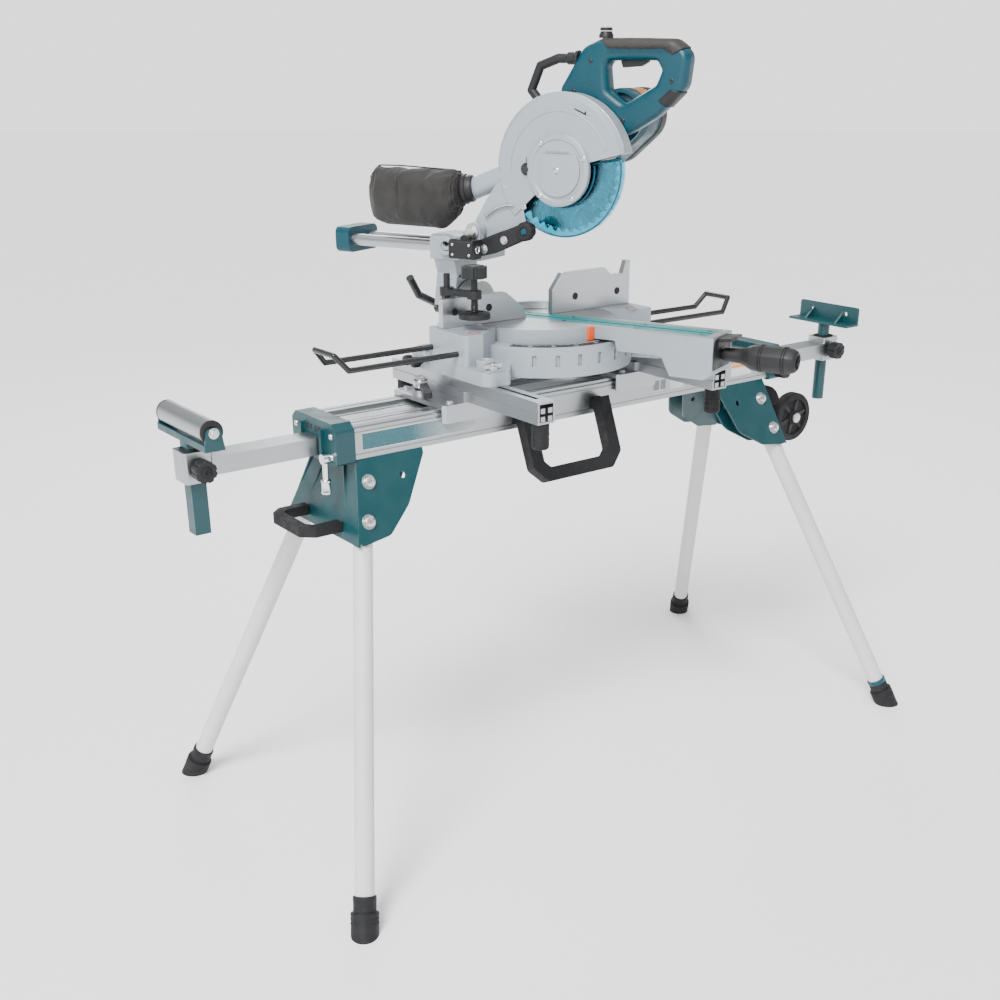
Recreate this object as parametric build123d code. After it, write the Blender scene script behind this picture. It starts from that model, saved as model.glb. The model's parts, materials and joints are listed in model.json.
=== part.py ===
"""Slide compound mitre saw bolted to a folding leg stand.

Millimetres, +Z up. The origin is on the floor under the middle of the stand's beam, +X runs along
the beam to the right, and -Y is the front, where the user stands.
"""
import os
from math import atan2, cos, degrees, hypot, pi, radians, sin

from build123d import *

# ---------------------------------------------------------------- driving dimensions: stand
BEAM_HALF = 515.0                 # half length of the beam extrusion
BEAM_Y = 70.0                     # half width of the beam
BEAM_Z = (735.0, 796.0)           # bottom and top of the beam
RIDGE = 6.0                       # the beam's two edge ridges stand this far above its deck
WALL = 3.5                        # wall of the beam profile
TUBE = (50.0, 30.0)               # extension tube, width and height
TUBE_Z = 757.0                    # centre height of the extension tubes
TUBE_GAP = 0.5                    # clearance between a tube and the channel it slides in
CAP_X = 552.0                     # outer face of the cast end caps
FOOT_X, FOOT_Y = 700.0, 343.0     # where the feet stand
HINGE_Y, HINGE_Z = 66.0, 690.0    # leg hinge height, and its distance from the middle plane
HINGE_X = {"left": -499.0, "right": 480.0}
LEG_R, LEG_WALL = 17.0, 1.8       # leg tube
LEG_TOP = LEG_R - 1.6             # the leg's rounded top, measured from its hinge
PLATE = 4.0                       # steel plate of the leg housings
PIVOT_R = 5.0                     # leg hinge bolts
RUNNING = 0.06                    # radial clearance of a pin that turns or slides in its hole
FOOT_R, FOOT_H = 24.0, 60.0       # rubber feet
WHEEL_X, WHEEL_Z, WHEEL_R = 630.0, 627.0, 54.0
WHEEL_Y, WHEEL_W = 45.0, 24.0
AXLE_R = 6.0
TUBE_IN = 182.0                   # inner end of the extension tubes
COLLAR = (764.0, 17.0)            # collar at the tube's end: centre X and half width
ROLLER_Z, ROLLER_R, ROLLER_HALF = 830.0, 19.0, 86.0
STOP_Z = (815.0, 855.0)
STOP_HOLES = (-46.0, 50.0)        # fixing holes in the stop plate
STOP_HOLE_R = 5.0

# ---------------------------------------------------------------- driving dimensions: saw
SAW_X, SAW_Y = -64.0, -10.0       # turntable pivot, seen from above
RAIL_Z = 842.0                    # top of the tool brackets, where the saw's base stands
TABLE = 80.0                      # table top above the brackets
MITRE = 22.5                      # the turntable rests in this detent, arm to the right
BOLT_X = 204.5                    # base bolts on either side of the pivot
BOLT_Y = (-125.0, 88.0)           # front and rear base bolts
BOLT_R = 4.0
BLADE_R, BORE_R = 108.0, 15.0     # blade
BLADE_AT = (-48.0, 262.0)         # blade axis, Y and Z in the arm's frame, with the head up
HEAD_HINGE = (120.0, 150.0)       # head hinge, Y and Z in the arm's frame
MOTOR_AT = (-85.0, 318.0)         # motor axis, Y and Z in the arm's frame
GEAR_R, PINION_R = 48.0, 18.8
POLE_X, POLE_Z, POLE_R = 28.0, 118.0, 11.0
DISC_R = 140.0                    # turntable
RING_R = 172.0                    # front ring of the base
DRUM_R = 54.0                     # bevel drum
ROD_Z, ROD_R = -35.0, 5.0         # work support rods
ROD_END = 470.0
PAD_TOP = -55.0                   # top of the base's bolt pads, below the swing of the bevel drum


# ---------------------------------------------------------------- helpers
def block(x, y, z):
    """Box from three (low, high) pairs."""
    middle = [(low + high) / 2 for low, high in (x, y, z)]
    size = [high - low for low, high in (x, y, z)]
    return Pos(*middle) * Box(*size)


def rod(start, end, radius):
    """Round bar between two points."""
    start, end = Vector(*start), Vector(*end)
    way = end - start
    plane = Plane(origin=start, z_dir=way)
    return plane * Cylinder(radius, way.length, align=(Align.CENTER, Align.CENTER, Align.MIN))


def pipe(start, end, radius, inner):
    """Round tube between two points."""
    return rod(start, end, radius) - rod(start, end, inner)


def drum(x, centre, radius):
    """Round bar along X: (low, high) of X, and (Y, Z) of its axis."""
    return rod((x[0], *centre), (x[1], *centre), radius)


def outline(points, fillets):
    """Closed outline, with {point number: radius} for its rounded corners."""
    face = Polygon(*points, align=None)
    for index, radius in fillets.items():
        near = min(face.vertices(), key=lambda v: hypot(v.X - points[index][0], v.Y - points[index][1]))
        face = fillet(near, radius)
    return face


def side_plate(points, x, fillets=None):
    """Plate from an outline in Y and Z, between two X values."""
    face = Plane.YZ.offset(x[0]) * outline(points, fillets or {})
    return extrude(face, amount=x[1] - x[0], dir=(1, 0, 0))


def front_plate(points, y, fillets=None):
    """Plate from an outline in X and Z, between two Y values."""
    face = Plane.XZ.offset(-y[1]) * outline(points, fillets or {})
    return extrude(face, amount=y[1] - y[0], dir=(0, -1, 0))


def top_plate(points, z, fillets=None):
    """Plate from an outline in X and Y, between two Z values."""
    face = Plane.XY.offset(z[0]) * outline(points, fillets or {})
    return extrude(face, amount=z[1] - z[0], dir=(0, 0, 1))


def bent_bar(points, radius):
    """Round bar through points, with ball-shaped corners."""
    bar = rod(points[0], points[1], radius)
    for start, end in zip(points[1:], points[2:]):
        bar += Pos(*start) * Sphere(radius)
        bar += rod(start, end, radius)
    return bar


def save(node, shape):
    """Write one sub-part, made of one solid or of several alike."""
    solids = shape.solids()
    body = solids[0] if len(solids) == 1 else Compound(children=list(solids))
    body.label = node
    export_step(body, f"parts/{node}.step")


# ---------------------------------------------------------------- stand: beam and caps
def beam():
    low, high = BEAM_Z
    deck = high - RIDGE
    channel_y = TUBE[0] / 2 + TUBE_GAP
    channel_z = (TUBE_Z - TUBE[1] / 2 - TUBE_GAP, TUBE_Z + TUBE[1] / 2 + TUBE_GAP)
    length = (-BEAM_HALF, BEAM_HALF)
    shape = block(length, (-BEAM_Y, BEAM_Y), (low, deck))
    for side in (-1, 1):
        shape += block(length, sorted((side * 38, side * 66)), (deck, high))
        shape -= block(length, sorted((side * 50, side * 54)), (high - 3, high))
        shape -= block(length, sorted((side * 16, side * 22)), (deck - 2, deck))
        shape -= block(length, sorted((side * (channel_y + WALL), side * (BEAM_Y - WALL))),
                       (low + WALL, deck - WALL))
        for groove_z in (low + 10, deck - 6):
            shape -= block(length, sorted((side * BEAM_Y, side * (BEAM_Y - 1.5))),
                           (groove_z - 1.5, groove_z + 1.5))
    shape -= block(length, (-channel_y, channel_y), channel_z)
    shape -= block(length, (-channel_y, channel_y), (channel_z[1] + WALL, deck - WALL))
    return shape


def end_cap(side):
    """Cast cap: a thick rounded plate with the tube's window and a lock boss."""
    edge, face = sorted((side * BEAM_HALF, side * CAP_X))
    low, high = BEAM_Z
    cap = side_plate([(-76, low - 4), (76, low - 4), (76, high - 6), (62, high + 6), (-62, high + 6),
                      (-76, high - 6)], (edge, face), {0: 6, 1: 6, 2: 8, 5: 8})
    window_y, window_z = TUBE[0] / 2 + TUBE_GAP, TUBE[1] / 2 + TUBE_GAP
    cap -= block((edge - 5, face + 5), (-window_y, window_y), (TUBE_Z - window_z, TUBE_Z + window_z))
    rib = sorted((side * CAP_X, side * (CAP_X + 8)))
    for y in (-34, 34):
        cap += block(rib, (y - 4, y + 4), (low + 4, high - 8))
    return cap


# ---------------------------------------------------------------- stand: legs and their housings
def leg_line(side, face, height):
    """Point on the leg's axis at a height; face is -1 for the front leg and 1 for the rear one."""
    sign = -1 if side == "left" else 1
    part = (HINGE_Z - height) / HINGE_Z
    x = HINGE_X[side] + (sign * FOOT_X - HINGE_X[side]) * part
    return Vector(x, face * (HINGE_Y + (FOOT_Y - HINGE_Y) * part), height)


def hinge_axis(face):
    """The leg hinge's axis points outwards, square to the beam and to the leg."""
    drop = FOOT_Y - HINGE_Y
    return Vector(0, face * HINGE_Z, drop).normalized()


def gusset_plane(side, face, offset):
    """Plane beside the leg; its first axis is X, its second climbs the slope from the hinge."""
    return Plane(origin=leg_line(side, face, HINGE_Z) + hinge_axis(face) * offset,
                 x_dir=(1, 0, 0), z_dir=hinge_axis(face))


def gusset(side, face, corners, fillets, offset):
    """Sloping plate beside a leg, from corners given as X and height."""
    climb = cos(atan2(FOOT_Y - HINGE_Y, HINGE_Z))
    plane = gusset_plane(side, face, offset)
    up = -face                      # the plane's second axis points down on the rear side
    flat = [(x - HINGE_X[side], up * (z - plane.origin.Z) / climb) for x, z in corners]
    return extrude(plane * outline(flat, fillets), amount=PLATE, dir=tuple(plane.z_dir))


def leg_housing(side):
    """Folded plate box that carries two legs: outer and inner gussets, end plate and top plate."""
    sign = -1 if side == "left" else 1
    top = BEAM_Z[0]
    if side == "left":
        corners = [(-511, top + 8), (-546, 597), (-480, 606), (-431, 648), (-378, 725), (-378, top + 8)]
    else:
        corners = [(495, top + 8), (531, 597), (460, 606), (398, 640), (362, 722), (362, top + 8)]
    fillets = {1: 10, 2: 22, 3: 34, 4: 8}
    gap = LEG_R + 1.0
    shape = block(sorted((corners[0][0], corners[5][0])), (-68, 68), (top - PLATE, top))
    for face in (-1, 1):
        shape += gusset(side, face, corners, fillets, gap)
        shape += gusset(side, face, corners, fillets, -gap - PLATE)
    shape += end_plate(side)
    for face in (-1, 1):
        hole = hinge_axis(face)
        for place, radius in ((leg_line(side, face, HINGE_Z), PIVOT_R),
                              (Vector(HINGE_X[side] - sign * 70, face * HINGE_Y, HINGE_Z), 6.0)):
            shape -= rod(tuple(place - hole * 40), tuple(place + hole * 40), radius)
    shape -= block((-700, 700), (-150, 150), (top, top + 60))
    if side == "right":
        for y in (-WHEEL_Y + 24, WHEEL_Y - 24):
            ear = front_plate([(520, 690), (520, 622), (WHEEL_X - 8, WHEEL_Z - 14),
                               (WHEEL_X + 14, WHEEL_Z - 14), (WHEEL_X + 14, WHEEL_Z + 14),
                               (WHEEL_X - 20, WHEEL_Z + 20)], (y - 3, y + 3), {3: 12, 4: 12})
            ear -= rod((WHEEL_X, y - 10, WHEEL_Z), (WHEEL_X, y + 10, WHEEL_Z), AXLE_R)
            shape += ear
    return shape


END_PLATE_GAP = LEG_R * 1.05 + 0.8   # from a leg's axis to the end plate, along X


def end_plate(side):
    """Plate outside the two legs, sloping as they do, where they come to rest when open."""
    top, bottom = BEAM_Z[0], 600.0
    clear = END_PLATE_GAP
    plate = front_plate([(x_at(side, top, clear), top), (x_at(side, bottom, clear), bottom),
                         (x_at(side, bottom, clear + PLATE), bottom), (x_at(side, top, clear + PLATE), top)],
                        (-200, 200))
    slope = (FOOT_Y - HINGE_Y) / HINGE_Z
    reach = (LEG_R + 1 + PLATE) * hypot(1, slope)
    half = [HINGE_Y + (HINGE_Z - z) * slope + reach for z in (top, bottom)]
    mask = side_plate([(-half[0], top), (half[0], top), (half[1], bottom), (-half[1], bottom)], (-900, 900))
    return plate & mask


def x_at(side, height, clear):
    """X of a line beside the legs, at a height."""
    sign = -1 if side == "left" else 1
    return leg_line(side, -1, height).X + sign * clear


def leg(side, face):
    top, foot = leg_line(side, face, HINGE_Z), leg_line(side, face, 0)
    along = (foot - top).normalized()
    start, end = top - along * (LEG_TOP + 2), foot - along * 12
    shape = pipe(tuple(start), tuple(end), LEG_R, LEG_R - LEG_WALL)
    axis = hinge_axis(face)
    corners = rod(tuple(start - along), tuple(top), LEG_R + 2)
    shape -= corners - rod(tuple(top - axis * 30), tuple(top + axis * 30), LEG_TOP)
    bush = rod(tuple(top - axis * (LEG_R - 1)), tuple(top + axis * (LEG_R - 1)), PIVOT_R + 3)
    shape += bush
    return shape - rod(tuple(top - axis * 30), tuple(top + axis * 30), PIVOT_R + RUNNING)


def foot(side, face):
    """Rubber foot: a cup on the leg's end, cut level at the floor."""
    top, bottom = leg_line(side, face, HINGE_Z), leg_line(side, face, 0)
    along = (bottom - top).normalized()
    shape = rod(tuple(bottom - along * FOOT_H), tuple(bottom + along * 20), FOOT_R - 4)
    shape += rod(tuple(bottom - along * (FOOT_H - 22)), tuple(bottom + along * 20), FOOT_R)
    shape -= rod(tuple(bottom - along * 100), tuple(bottom - along * 12), LEG_R)
    return shape & block((-900, 900), (-500, 500), (0, 200))


def leg_pivots():
    """Hinge bolts, the housings' stop bolts and the wheel axle."""
    parts = []
    for side in ("left", "right"):
        for face in (-1, 1):
            axis = hinge_axis(face)
            place = leg_line(side, face, HINGE_Z)
            outer = LEG_R + 1 + PLATE
            bolt = rod(tuple(place - axis * (outer + 5)), tuple(place + axis * outer), PIVOT_R)
            bolt += rod(tuple(place + axis * outer), tuple(place + axis * (outer + 6)), 9)
            bolt += rod(tuple(place - axis * (outer + 5)), tuple(place - axis * outer), 8)
            parts.append(bolt)
            stop = leg_line(side, face, 628)
            parts.append(rod(tuple(stop + axis * outer), tuple(stop + axis * (outer + 6)), 9))
    parts.append(rod((WHEEL_X, -WHEEL_Y - 15, WHEEL_Z), (WHEEL_X, WHEEL_Y + 15, WHEEL_Z), AXLE_R)
                 + rod((WHEEL_X, -WHEEL_Y - 19, WHEEL_Z), (WHEEL_X, -WHEEL_Y - 15, WHEEL_Z), 11)
                 + rod((WHEEL_X, WHEEL_Y + 15, WHEEL_Z), (WHEEL_X, WHEEL_Y + 19, WHEEL_Z), 11))
    return Compound(children=parts)


def wheels():
    """Pair of wheels joined by the sleeve that turns on the axle."""
    shape = rod((WHEEL_X, -WHEEL_Y - 13, WHEEL_Z), (WHEEL_X, WHEEL_Y + 13, WHEEL_Z), AXLE_R + RUNNING + 0.01)
    parts = []
    for side in (-1, 1):
        near, far = sorted((side * (WHEEL_Y - 13), side * (WHEEL_Y + 13)))
        hub = rod((WHEEL_X, near, WHEEL_Z), (WHEEL_X, far, WHEEL_Z), 16)
        tyre_y = sorted((side * (WHEEL_Y - WHEEL_W / 2), side * (WHEEL_Y + WHEEL_W / 2)))
        disc = rod((WHEEL_X, tyre_y[0], WHEEL_Z), (WHEEL_X, tyre_y[1], WHEEL_Z), WHEEL_R)
        disc = fillet(disc.edges().filter_by(GeomType.CIRCLE), 4)
        outer = side * (WHEEL_Y + WHEEL_W / 2)
        recess = rod((WHEEL_X, outer, WHEEL_Z), (WHEEL_X, outer - side * 8, WHEEL_Z), WHEEL_R - 14)
        parts.append(((disc - recess) + hub) - shape)
    return Compound(children=parts)


# ---------------------------------------------------------------- stand: handles and locks
HANDLE_TILT = degrees(atan2(FOOT_Y - HINGE_Y, HINGE_Z))   # the carry handle slopes as the legs do
HANDLE_TOP = (-82.5, 776.0)       # Y and Z about which it slopes


def carry_handle():
    """Carry handle in front of the beam: a loop that slopes outwards, on two blocks."""
    y = (HANDLE_TOP[0] - 12, HANDLE_TOP[0] + 12)
    outer = [(-176, 768), (-176, 660), (-148, 632), (8, 632), (36, 660), (36, 768)]
    inner = [(-150, 800), (-150, 670), (-138, 658), (-2, 658), (10, 670), (10, 800)]
    loop = front_plate(outer, y, {1: 12, 2: 12, 3: 12, 4: 12})
    loop -= front_plate(inner, (y[0] - 5, y[1] + 5), {1: 6, 2: 6, 3: 6, 4: 6})
    loop = Pos(0, *HANDLE_TOP) * Rot(-HANDLE_TILT, 0, 0) * Pos(0, -HANDLE_TOP[0], -HANDLE_TOP[1]) * loop
    for x in ((-176, -150), (10, 36)):
        loop += block(x, (-92, -BEAM_Y), (746, 766))
    return loop - block((-300, 300), (-BEAM_Y, 100), (500, 800))


def end_grip():
    """Grip that sticks out of the left end plate: a flat loop."""
    z = (612.0, 630.0)
    root = x_at("left", sum(z) / 2, LEG_R + 6 + PLATE)
    grip = top_plate([(root + 2, -68), (-596, -68), (-618, -48), (-618, 48), (-596, 68), (root + 2, 68)],
                     z, {1: 10, 2: 10, 3: 10, 4: 10})
    grip -= top_plate([(root + 30, -50), (-588, -50), (-599, -40), (-599, 40), (-588, 50), (root + 30, 50)],
                      (z[0] - 5, z[1] + 5), {1: 6, 2: 6, 3: 6, 4: 6})
    clear = END_PLATE_GAP + PLATE
    heights = (z[0] - 5, z[1] + 5)
    face_x = [x_at("left", height, clear) for height in heights]
    behind = [(face_x[0], heights[0]), (face_x[1], heights[1]), (-400, heights[1]), (-400, heights[0])]
    return grip - front_plate(behind, (-100, 100))


LOCK_Y = -52.0
LOCK_Z = 728.0


def extension_lock_lever():
    """Chrome lever on the left cap that clamps the left tube: a hub and a hanging handle."""
    x = (-CAP_X - 16.0, -CAP_X - 1.0)
    hub = drum(x, (LOCK_Y, LOCK_Z + 14), 9)
    arm = rod((x[0] + 6, LOCK_Y, LOCK_Z + 10), (x[0] + 6, LOCK_Y, LOCK_Z - 40), 5)
    return hub + arm + Pos(x[0] + 6, LOCK_Y, LOCK_Z - 40) * Sphere(6.5)


def knob(centre, way, radius, length, lobes=8):
    """Fluted knob along a direction, starting at its centre point."""
    start = Vector(*centre)
    way = Vector(*way).normalized()
    plane = Plane(origin=start, z_dir=way)
    body = Cylinder(radius, length, align=(Align.CENTER, Align.CENTER, Align.MIN))
    for i in range(lobes):
        angle = 2 * pi * i / lobes
        flute = Cylinder(radius * 0.17, length * 2)
        body -= Pos(radius * 1.06 * cos(angle), radius * 1.06 * sin(angle), 0) * flute
    return plane * body


def extension_lock_knob():
    """Knob at the front of the right cap that clamps the right tube."""
    stem = rod((534, -77, 757), (534, -84, 757), 8)
    return stem + knob((534, -84, 757), (0, -1, 0), 20, 22)


# ---------------------------------------------------------------- stand: extensions and heads
def extension(side):
    """Extension tube with the square collar that holds a work support's post."""
    half_y, half_z = TUBE[0] / 2, TUBE[1] / 2
    span = sorted((side * TUBE_IN, side * (COLLAR[0] - COLLAR[1])))
    tube = block(span, (-half_y, half_y), (TUBE_Z - half_z, TUBE_Z + half_z))
    tube -= block((span[0] - 1, span[1] + 1), (-half_y + 2, half_y - 2),
                  (TUBE_Z - half_z + 2, TUBE_Z + half_z - 2))
    centre = side * (COLLAR[0] + 10)
    collar = block((centre - 24, centre + 24), (-24, 24), (TUBE_Z - 24, TUBE_Z + 28))
    collar = fillet(collar.edges().filter_by(Axis.Z), 4)
    collar += block(sorted((side * (COLLAR[0] - COLLAR[1]), side * (COLLAR[0] - 12))), (-half_y, half_y),
                    (TUBE_Z - half_z, TUBE_Z + half_z))
    shape = tube + collar
    if side < 0:
        shape -= block((centre - 13.8, centre + 13.8), (-13.8, 13.8), (600, 900))
    else:
        shape -= rod((centre, 0, 600), (centre, 0, 900), 13.0 + 0.3)
    return shape - rod((centre, -40, TUBE_Z), (centre, -12, TUBE_Z), 4 + RUNNING)


def collar_knob(side):
    centre = side * (COLLAR[0] + 10)
    stem = rod((centre, -14.5, TUBE_Z), (centre, -31, TUBE_Z), 4)
    return stem + rod((centre, -25, TUBE_Z), (centre, -31, TUBE_Z), 9) + knob(
        (centre, -31, TUBE_Z), (0, -1, 0), 18.5, 20)


def roller_post():
    """Square post with the cradle and the roller's axle."""
    x = -(COLLAR[0] + 10)
    post = block((x - 13.5, x + 13.5), (-13.5, 13.5), (642, ROLLER_Z - 26))
    post -= block((x - 10.5, x + 10.5), (-10.5, 10.5), (630, ROLLER_Z - 40))
    cradle = block((x - 17, x + 17), (-ROLLER_HALF - 6, ROLLER_HALF + 6), (ROLLER_Z - 29, ROLLER_Z - 24))
    for side in (-1, 1):
        cradle += block((x - 17, x - 13), (-ROLLER_HALF - 6, ROLLER_HALF + 6), (ROLLER_Z - 29, ROLLER_Z - 18))
        y = sorted((side * (ROLLER_HALF + 2), side * (ROLLER_HALF + 6)))
        cradle += front_plate([(x - 17, ROLLER_Z - 26), (x - 12, ROLLER_Z + 8), (x + 12, ROLLER_Z + 8),
                               (x + 17, ROLLER_Z - 26)], y, {1: 10, 2: 10})
    axle = rod((x, -ROLLER_HALF - 9, ROLLER_Z), (x, ROLLER_HALF + 9, ROLLER_Z), 5)
    return post + cradle + axle


def roller():
    x = -(COLLAR[0] + 10)
    shape = rod((x, -ROLLER_HALF, ROLLER_Z), (x, ROLLER_HALF, ROLLER_Z), ROLLER_R)
    shape = chamfer(shape.edges().filter_by(GeomType.CIRCLE), 1.5)
    return shape - rod((x, -ROLLER_HALF - 9, ROLLER_Z), (x, ROLLER_HALF + 9, ROLLER_Z), 5 + RUNNING)


def stop_post():
    """Round post with the L-shaped work stop on top."""
    x = COLLAR[0] + 10
    low, high = STOP_Z
    post = rod((x, 0, 640), (x, 0, low), 13.0) - rod((x, 0, 630), (x, 0, low - 20), 10.5)
    shape = post + block((x - 22, x + 20), (-80, 86), (low, low + 5))
    shape += side_plate([(-80, low), (86, low), (86, high), (-80, high)], (x + 15, x + 20), {2: 5, 3: 5})
    for y in (-40, 46):
        shape += front_plate([(x - 12, low + 5), (x + 15, low + 5), (x + 15, high - 12)], (y - 2.5, y + 2.5))
    for y in STOP_HOLES:
        shape -= rod((x - 5, y, (low + high) / 2 + 3), (x + 40, y, (low + high) / 2 + 3), STOP_HOLE_R)
    return shape


# ---------------------------------------------------------------- stand: tool brackets
BRACKETS = (SAW_X - BOLT_X, SAW_X + BOLT_X)
RAIL_Y = (-285.0, 165.0)
SADDLE_TOP = 804.0


def bracket_rails():
    """Two slotted channel rails that carry the saw."""
    parts = []
    for x in BRACKETS:
        rail = block((x - 18, x + 18), RAIL_Y, (SADDLE_TOP, RAIL_Z))
        rail -= block((x - 14.5, x + 14.5), (RAIL_Y[0] - 1, RAIL_Y[1] + 1), (SADDLE_TOP + 3.5, RAIL_Z - 4))
        rail -= block((x - 4.3, x + 4.3), (RAIL_Y[0] + 25, RAIL_Y[1] - 20), (RAIL_Z - 6, RAIL_Z + 1))
        for side in (-1, 1):
            rail -= block(sorted((x + side * 18, x + side * 16.8)), (RAIL_Y[0] - 1, RAIL_Y[1] + 1),
                          (RAIL_Z - 20, RAIL_Z - 16))
        parts.append(rail)
    return Compound(children=parts)


def bracket_saddles():
    """Cast saddles that clamp each rail to the beam, with jaws over both beam edges."""
    parts = []
    for x in BRACKETS:
        span = (x - 70.0, x + 28.0)
        low = BEAM_Z[1] + 0.2
        plate = block(span, (-84, 84), (low, SADDLE_TOP))
        for side in (-1, 1):
            plate += block(span, sorted((side * (BEAM_Y + 0.4), side * 84)), (772, SADDLE_TOP))
            plate += block((x + 18, x + 24), sorted((side * 60, side * 80)), (SADDLE_TOP, 822))
            plate += block((x - 24, x - 18), sorted((side * 60, side * 80)), (SADDLE_TOP, 822))
        plate += rod((x - 48, 22, SADDLE_TOP), (x - 48, 22, SADDLE_TOP + 8), 15)
        plate = chamfer(plate.edges().filter_by(Axis.Z).sort_by(Axis.X)[:4], 6)
        parts.append(plate)
    return Compound(children=parts)


def rail_posts():
    """Rubber posts under both ends of each rail."""
    parts = []
    for x in BRACKETS:
        for y in (RAIL_Y[0] + 16, RAIL_Y[1] - 16):
            post = rod((x, y, 758), (x, y, SADDLE_TOP), 15)
            parts.append(fillet(post.edges().filter_by(GeomType.CIRCLE).sort_by(Axis.Z)[:1], 4))
    return Compound(children=parts)


def clamp_lever(x):
    """Clamp lever of a bracket: a silver-topped hub and a long cranked handle."""
    z = SADDLE_TOP + 8.2
    hub = rod((x - 48, 22, z), (x - 48, 22, z + 18), 12)
    arm = top_plate([(x - 56, 14), (x - 40, 14), (x - 78, -62), (x - 92, -58)], (z + 4, z + 14), {2: 6, 3: 6})
    return hub + arm


def tool_bolts():
    """Bolts and wing nuts that hold the saw's base on the rails."""
    parts = []
    for x in BRACKETS:
        for y in BOLT_Y:
            y = SAW_Y + y
            pad = RAIL_Z + TABLE + PAD_TOP
            shank = rod((x, y, RAIL_Z - 12), (x, y, pad + 13), BOLT_R)
            head = block((x - 12, x + 12), (y - 8, y + 8), (RAIL_Z - 12, RAIL_Z - 5))
            nut = rod((x, y, pad + 0.2), (x, y, pad + 8), 9)
            wings = block((x - 18, x + 18), (y - 2.5, y + 2.5), (pad + 5, pad + 12))
            parts.append(shank + head + nut + wings)
    return Compound(children=parts)


# ---------------------------------------------------------------- saw frames
SAW = Pos(SAW_X, SAW_Y, RAIL_Z + TABLE)     # the saw's fixed frame: table centre, table top
ARM = SAW * Rot(0, 0, MITRE)                # the turntable's frame: its arm points along -Y
WELL_Z = -66.0                              # floor of the well that the turntable turns in
RING_Z = (WELL_Z, -26.0)
PADS = [(side * BOLT_X, y) for side in (-1, 1) for y in BOLT_Y]
ROD_Y = {-1: (-52.0, 28.0), 1: (-40.0, 40.0)}


# ---------------------------------------------------------------- saw: base
def wing(side):
    """Raised side of the base, with the table surface on top and room for the arm to swing."""
    if side < 0:
        plan = [(-138, -44), (-190, -78), (-228, -78), (-228, 44), (-182, 30), (-150, 4)]
    else:
        plan = [(140, -24), (184, -47), (228, -69), (228, 58), (168, 45), (140, 34)]
    shape = top_plate(plan, (-80, 0), {2: 8, 3: 8})
    cavity = (sorted((side * 160, side * 222)), (-26, 14), (-80, -6))
    return shape - block(*cavity)


def base_casting():
    shape = rod((0, 0, -80), (0, 0, RING_Z[1]), RING_R)
    shape -= rod((0, 0, WELL_Z), (0, 0, 10), DISC_R + 1.5)
    shape -= block((-300, 300), (-20, 300), (WELL_Z, 50))
    for side in (-1, 1):
        plan = [(side * 140, -90), (side * 178, -141), (side * 228.5, -141), (side * 228.5, 112),
                (side * 180, 112), (side * 130, 60)]
        shape += top_plate(plan, (-80, PAD_TOP), {1: 10, 2: 24, 3: 24, 4: 16})
        shape += wing(side)
        boss = rod((side * 196, -96, PAD_TOP), (side * 196, -96, -47), 15)
        shape += boss - rod((side * 196, -96, -60), (side * 196, -96, -40), 8)
        hollow = top_plate([(side * 158, -90), (side * 184, -132), (side * 222, -132), (side * 222, 104),
                            (side * 186, 104), (side * 158, 60)], (-81, PAD_TOP - 5))
        for y in BOLT_Y:
            hollow -= rod((side * BOLT_X, y, -82), (side * BOLT_X, y, -50), 17)
        shape -= hollow
    under = rod((0, 0, -81), (0, 0, -71), RING_R - 8) - rod((0, 0, -82), (0, 0, -70), 40)
    for i in range(4):
        under -= Rot(0, 0, 45 * i) * block((-3, 3), (-RING_R, RING_R), (-82, -70))
    shape -= under
    for x, y in PADS:
        shape -= rod((x, y, -90), (x, y, -40), BOLT_R + 1.0)
    shape -= rod((0, 0, WELL_Z), (0, 0, 10), DISC_R + 1.5)
    shape -= rod((0, 0, -90), (0, 0, 0), 12)
    for side in (-1, 1):
        for y in ROD_Y[side]:
            shape -= rod((side * 112, y, ROD_Z), (side * 240, y, ROD_Z), ROD_R + RUNNING)
            shape -= rod((side * -112, y, ROD_Z), (side * -176, y, ROD_Z), ROD_R + 1)
    shape -= rod((VISE_POST[0], VISE_POST[1], -40), (VISE_POST[0], VISE_POST[1], 10), 6 + RUNNING)
    for i in range(-3, 4):
        notch = Rot(0, 0, 14 * i) * block((-4, 4), (-RING_R - 2, -RING_R + 5), (-60, -40))
        shape -= notch
    return shape


def fence():
    """Fence casting: a low left half, a high right half, and the bridge behind the blade."""
    y = (0.0, 12.0)
    low = 0.5
    left = front_plate([(-222, low), (-222, 52), (-82, 52), (-40, 20), (-34, low)], y, {2: 6})
    right = front_plate([(28, low), (28, 44), (52, 75), (158, 75), (174, 60), (204, 60), (212, 84),
                         (222, 84), (222, low)], y, {2: 6, 3: 6})
    for x in (-196, -120, 84, 190):
        hole = rod((x, -5, 28), (x, 20, 28), 4.5)
        left -= hole
        right -= hole
    arch = rod((0, 6, 1), (0, 6, 15), 86) - rod((0, 6, 0), (0, 6, 16), 70)
    arch &= block((-100, 100), (8, 100), (0, 20))
    feet = block((-222, -176), (12, 19), (low, 9)) + block((150, 222), (12, 30), (low, 9))
    return left + right + arch + feet


def side_rod(side):
    """Work support: two rods joined by a raised bar at the outer end."""
    inner, bend, end = side * 150, side * (ROD_END - 22), side * ROD_END
    near, far = ROD_Y[side]
    points = [(inner, near, ROD_Z), (bend, near, ROD_Z), (end, near + 8, ROD_Z + 26),
              (end, far - 8, ROD_Z + 26), (bend, far, ROD_Z), (inner, far, ROD_Z)]
    return bent_bar(points, ROD_R)


# ---------------------------------------------------------------- saw: vise
VISE_POST = (-194.0, 26.0)
VISE_AT = (-178.0, -36.0)


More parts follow.
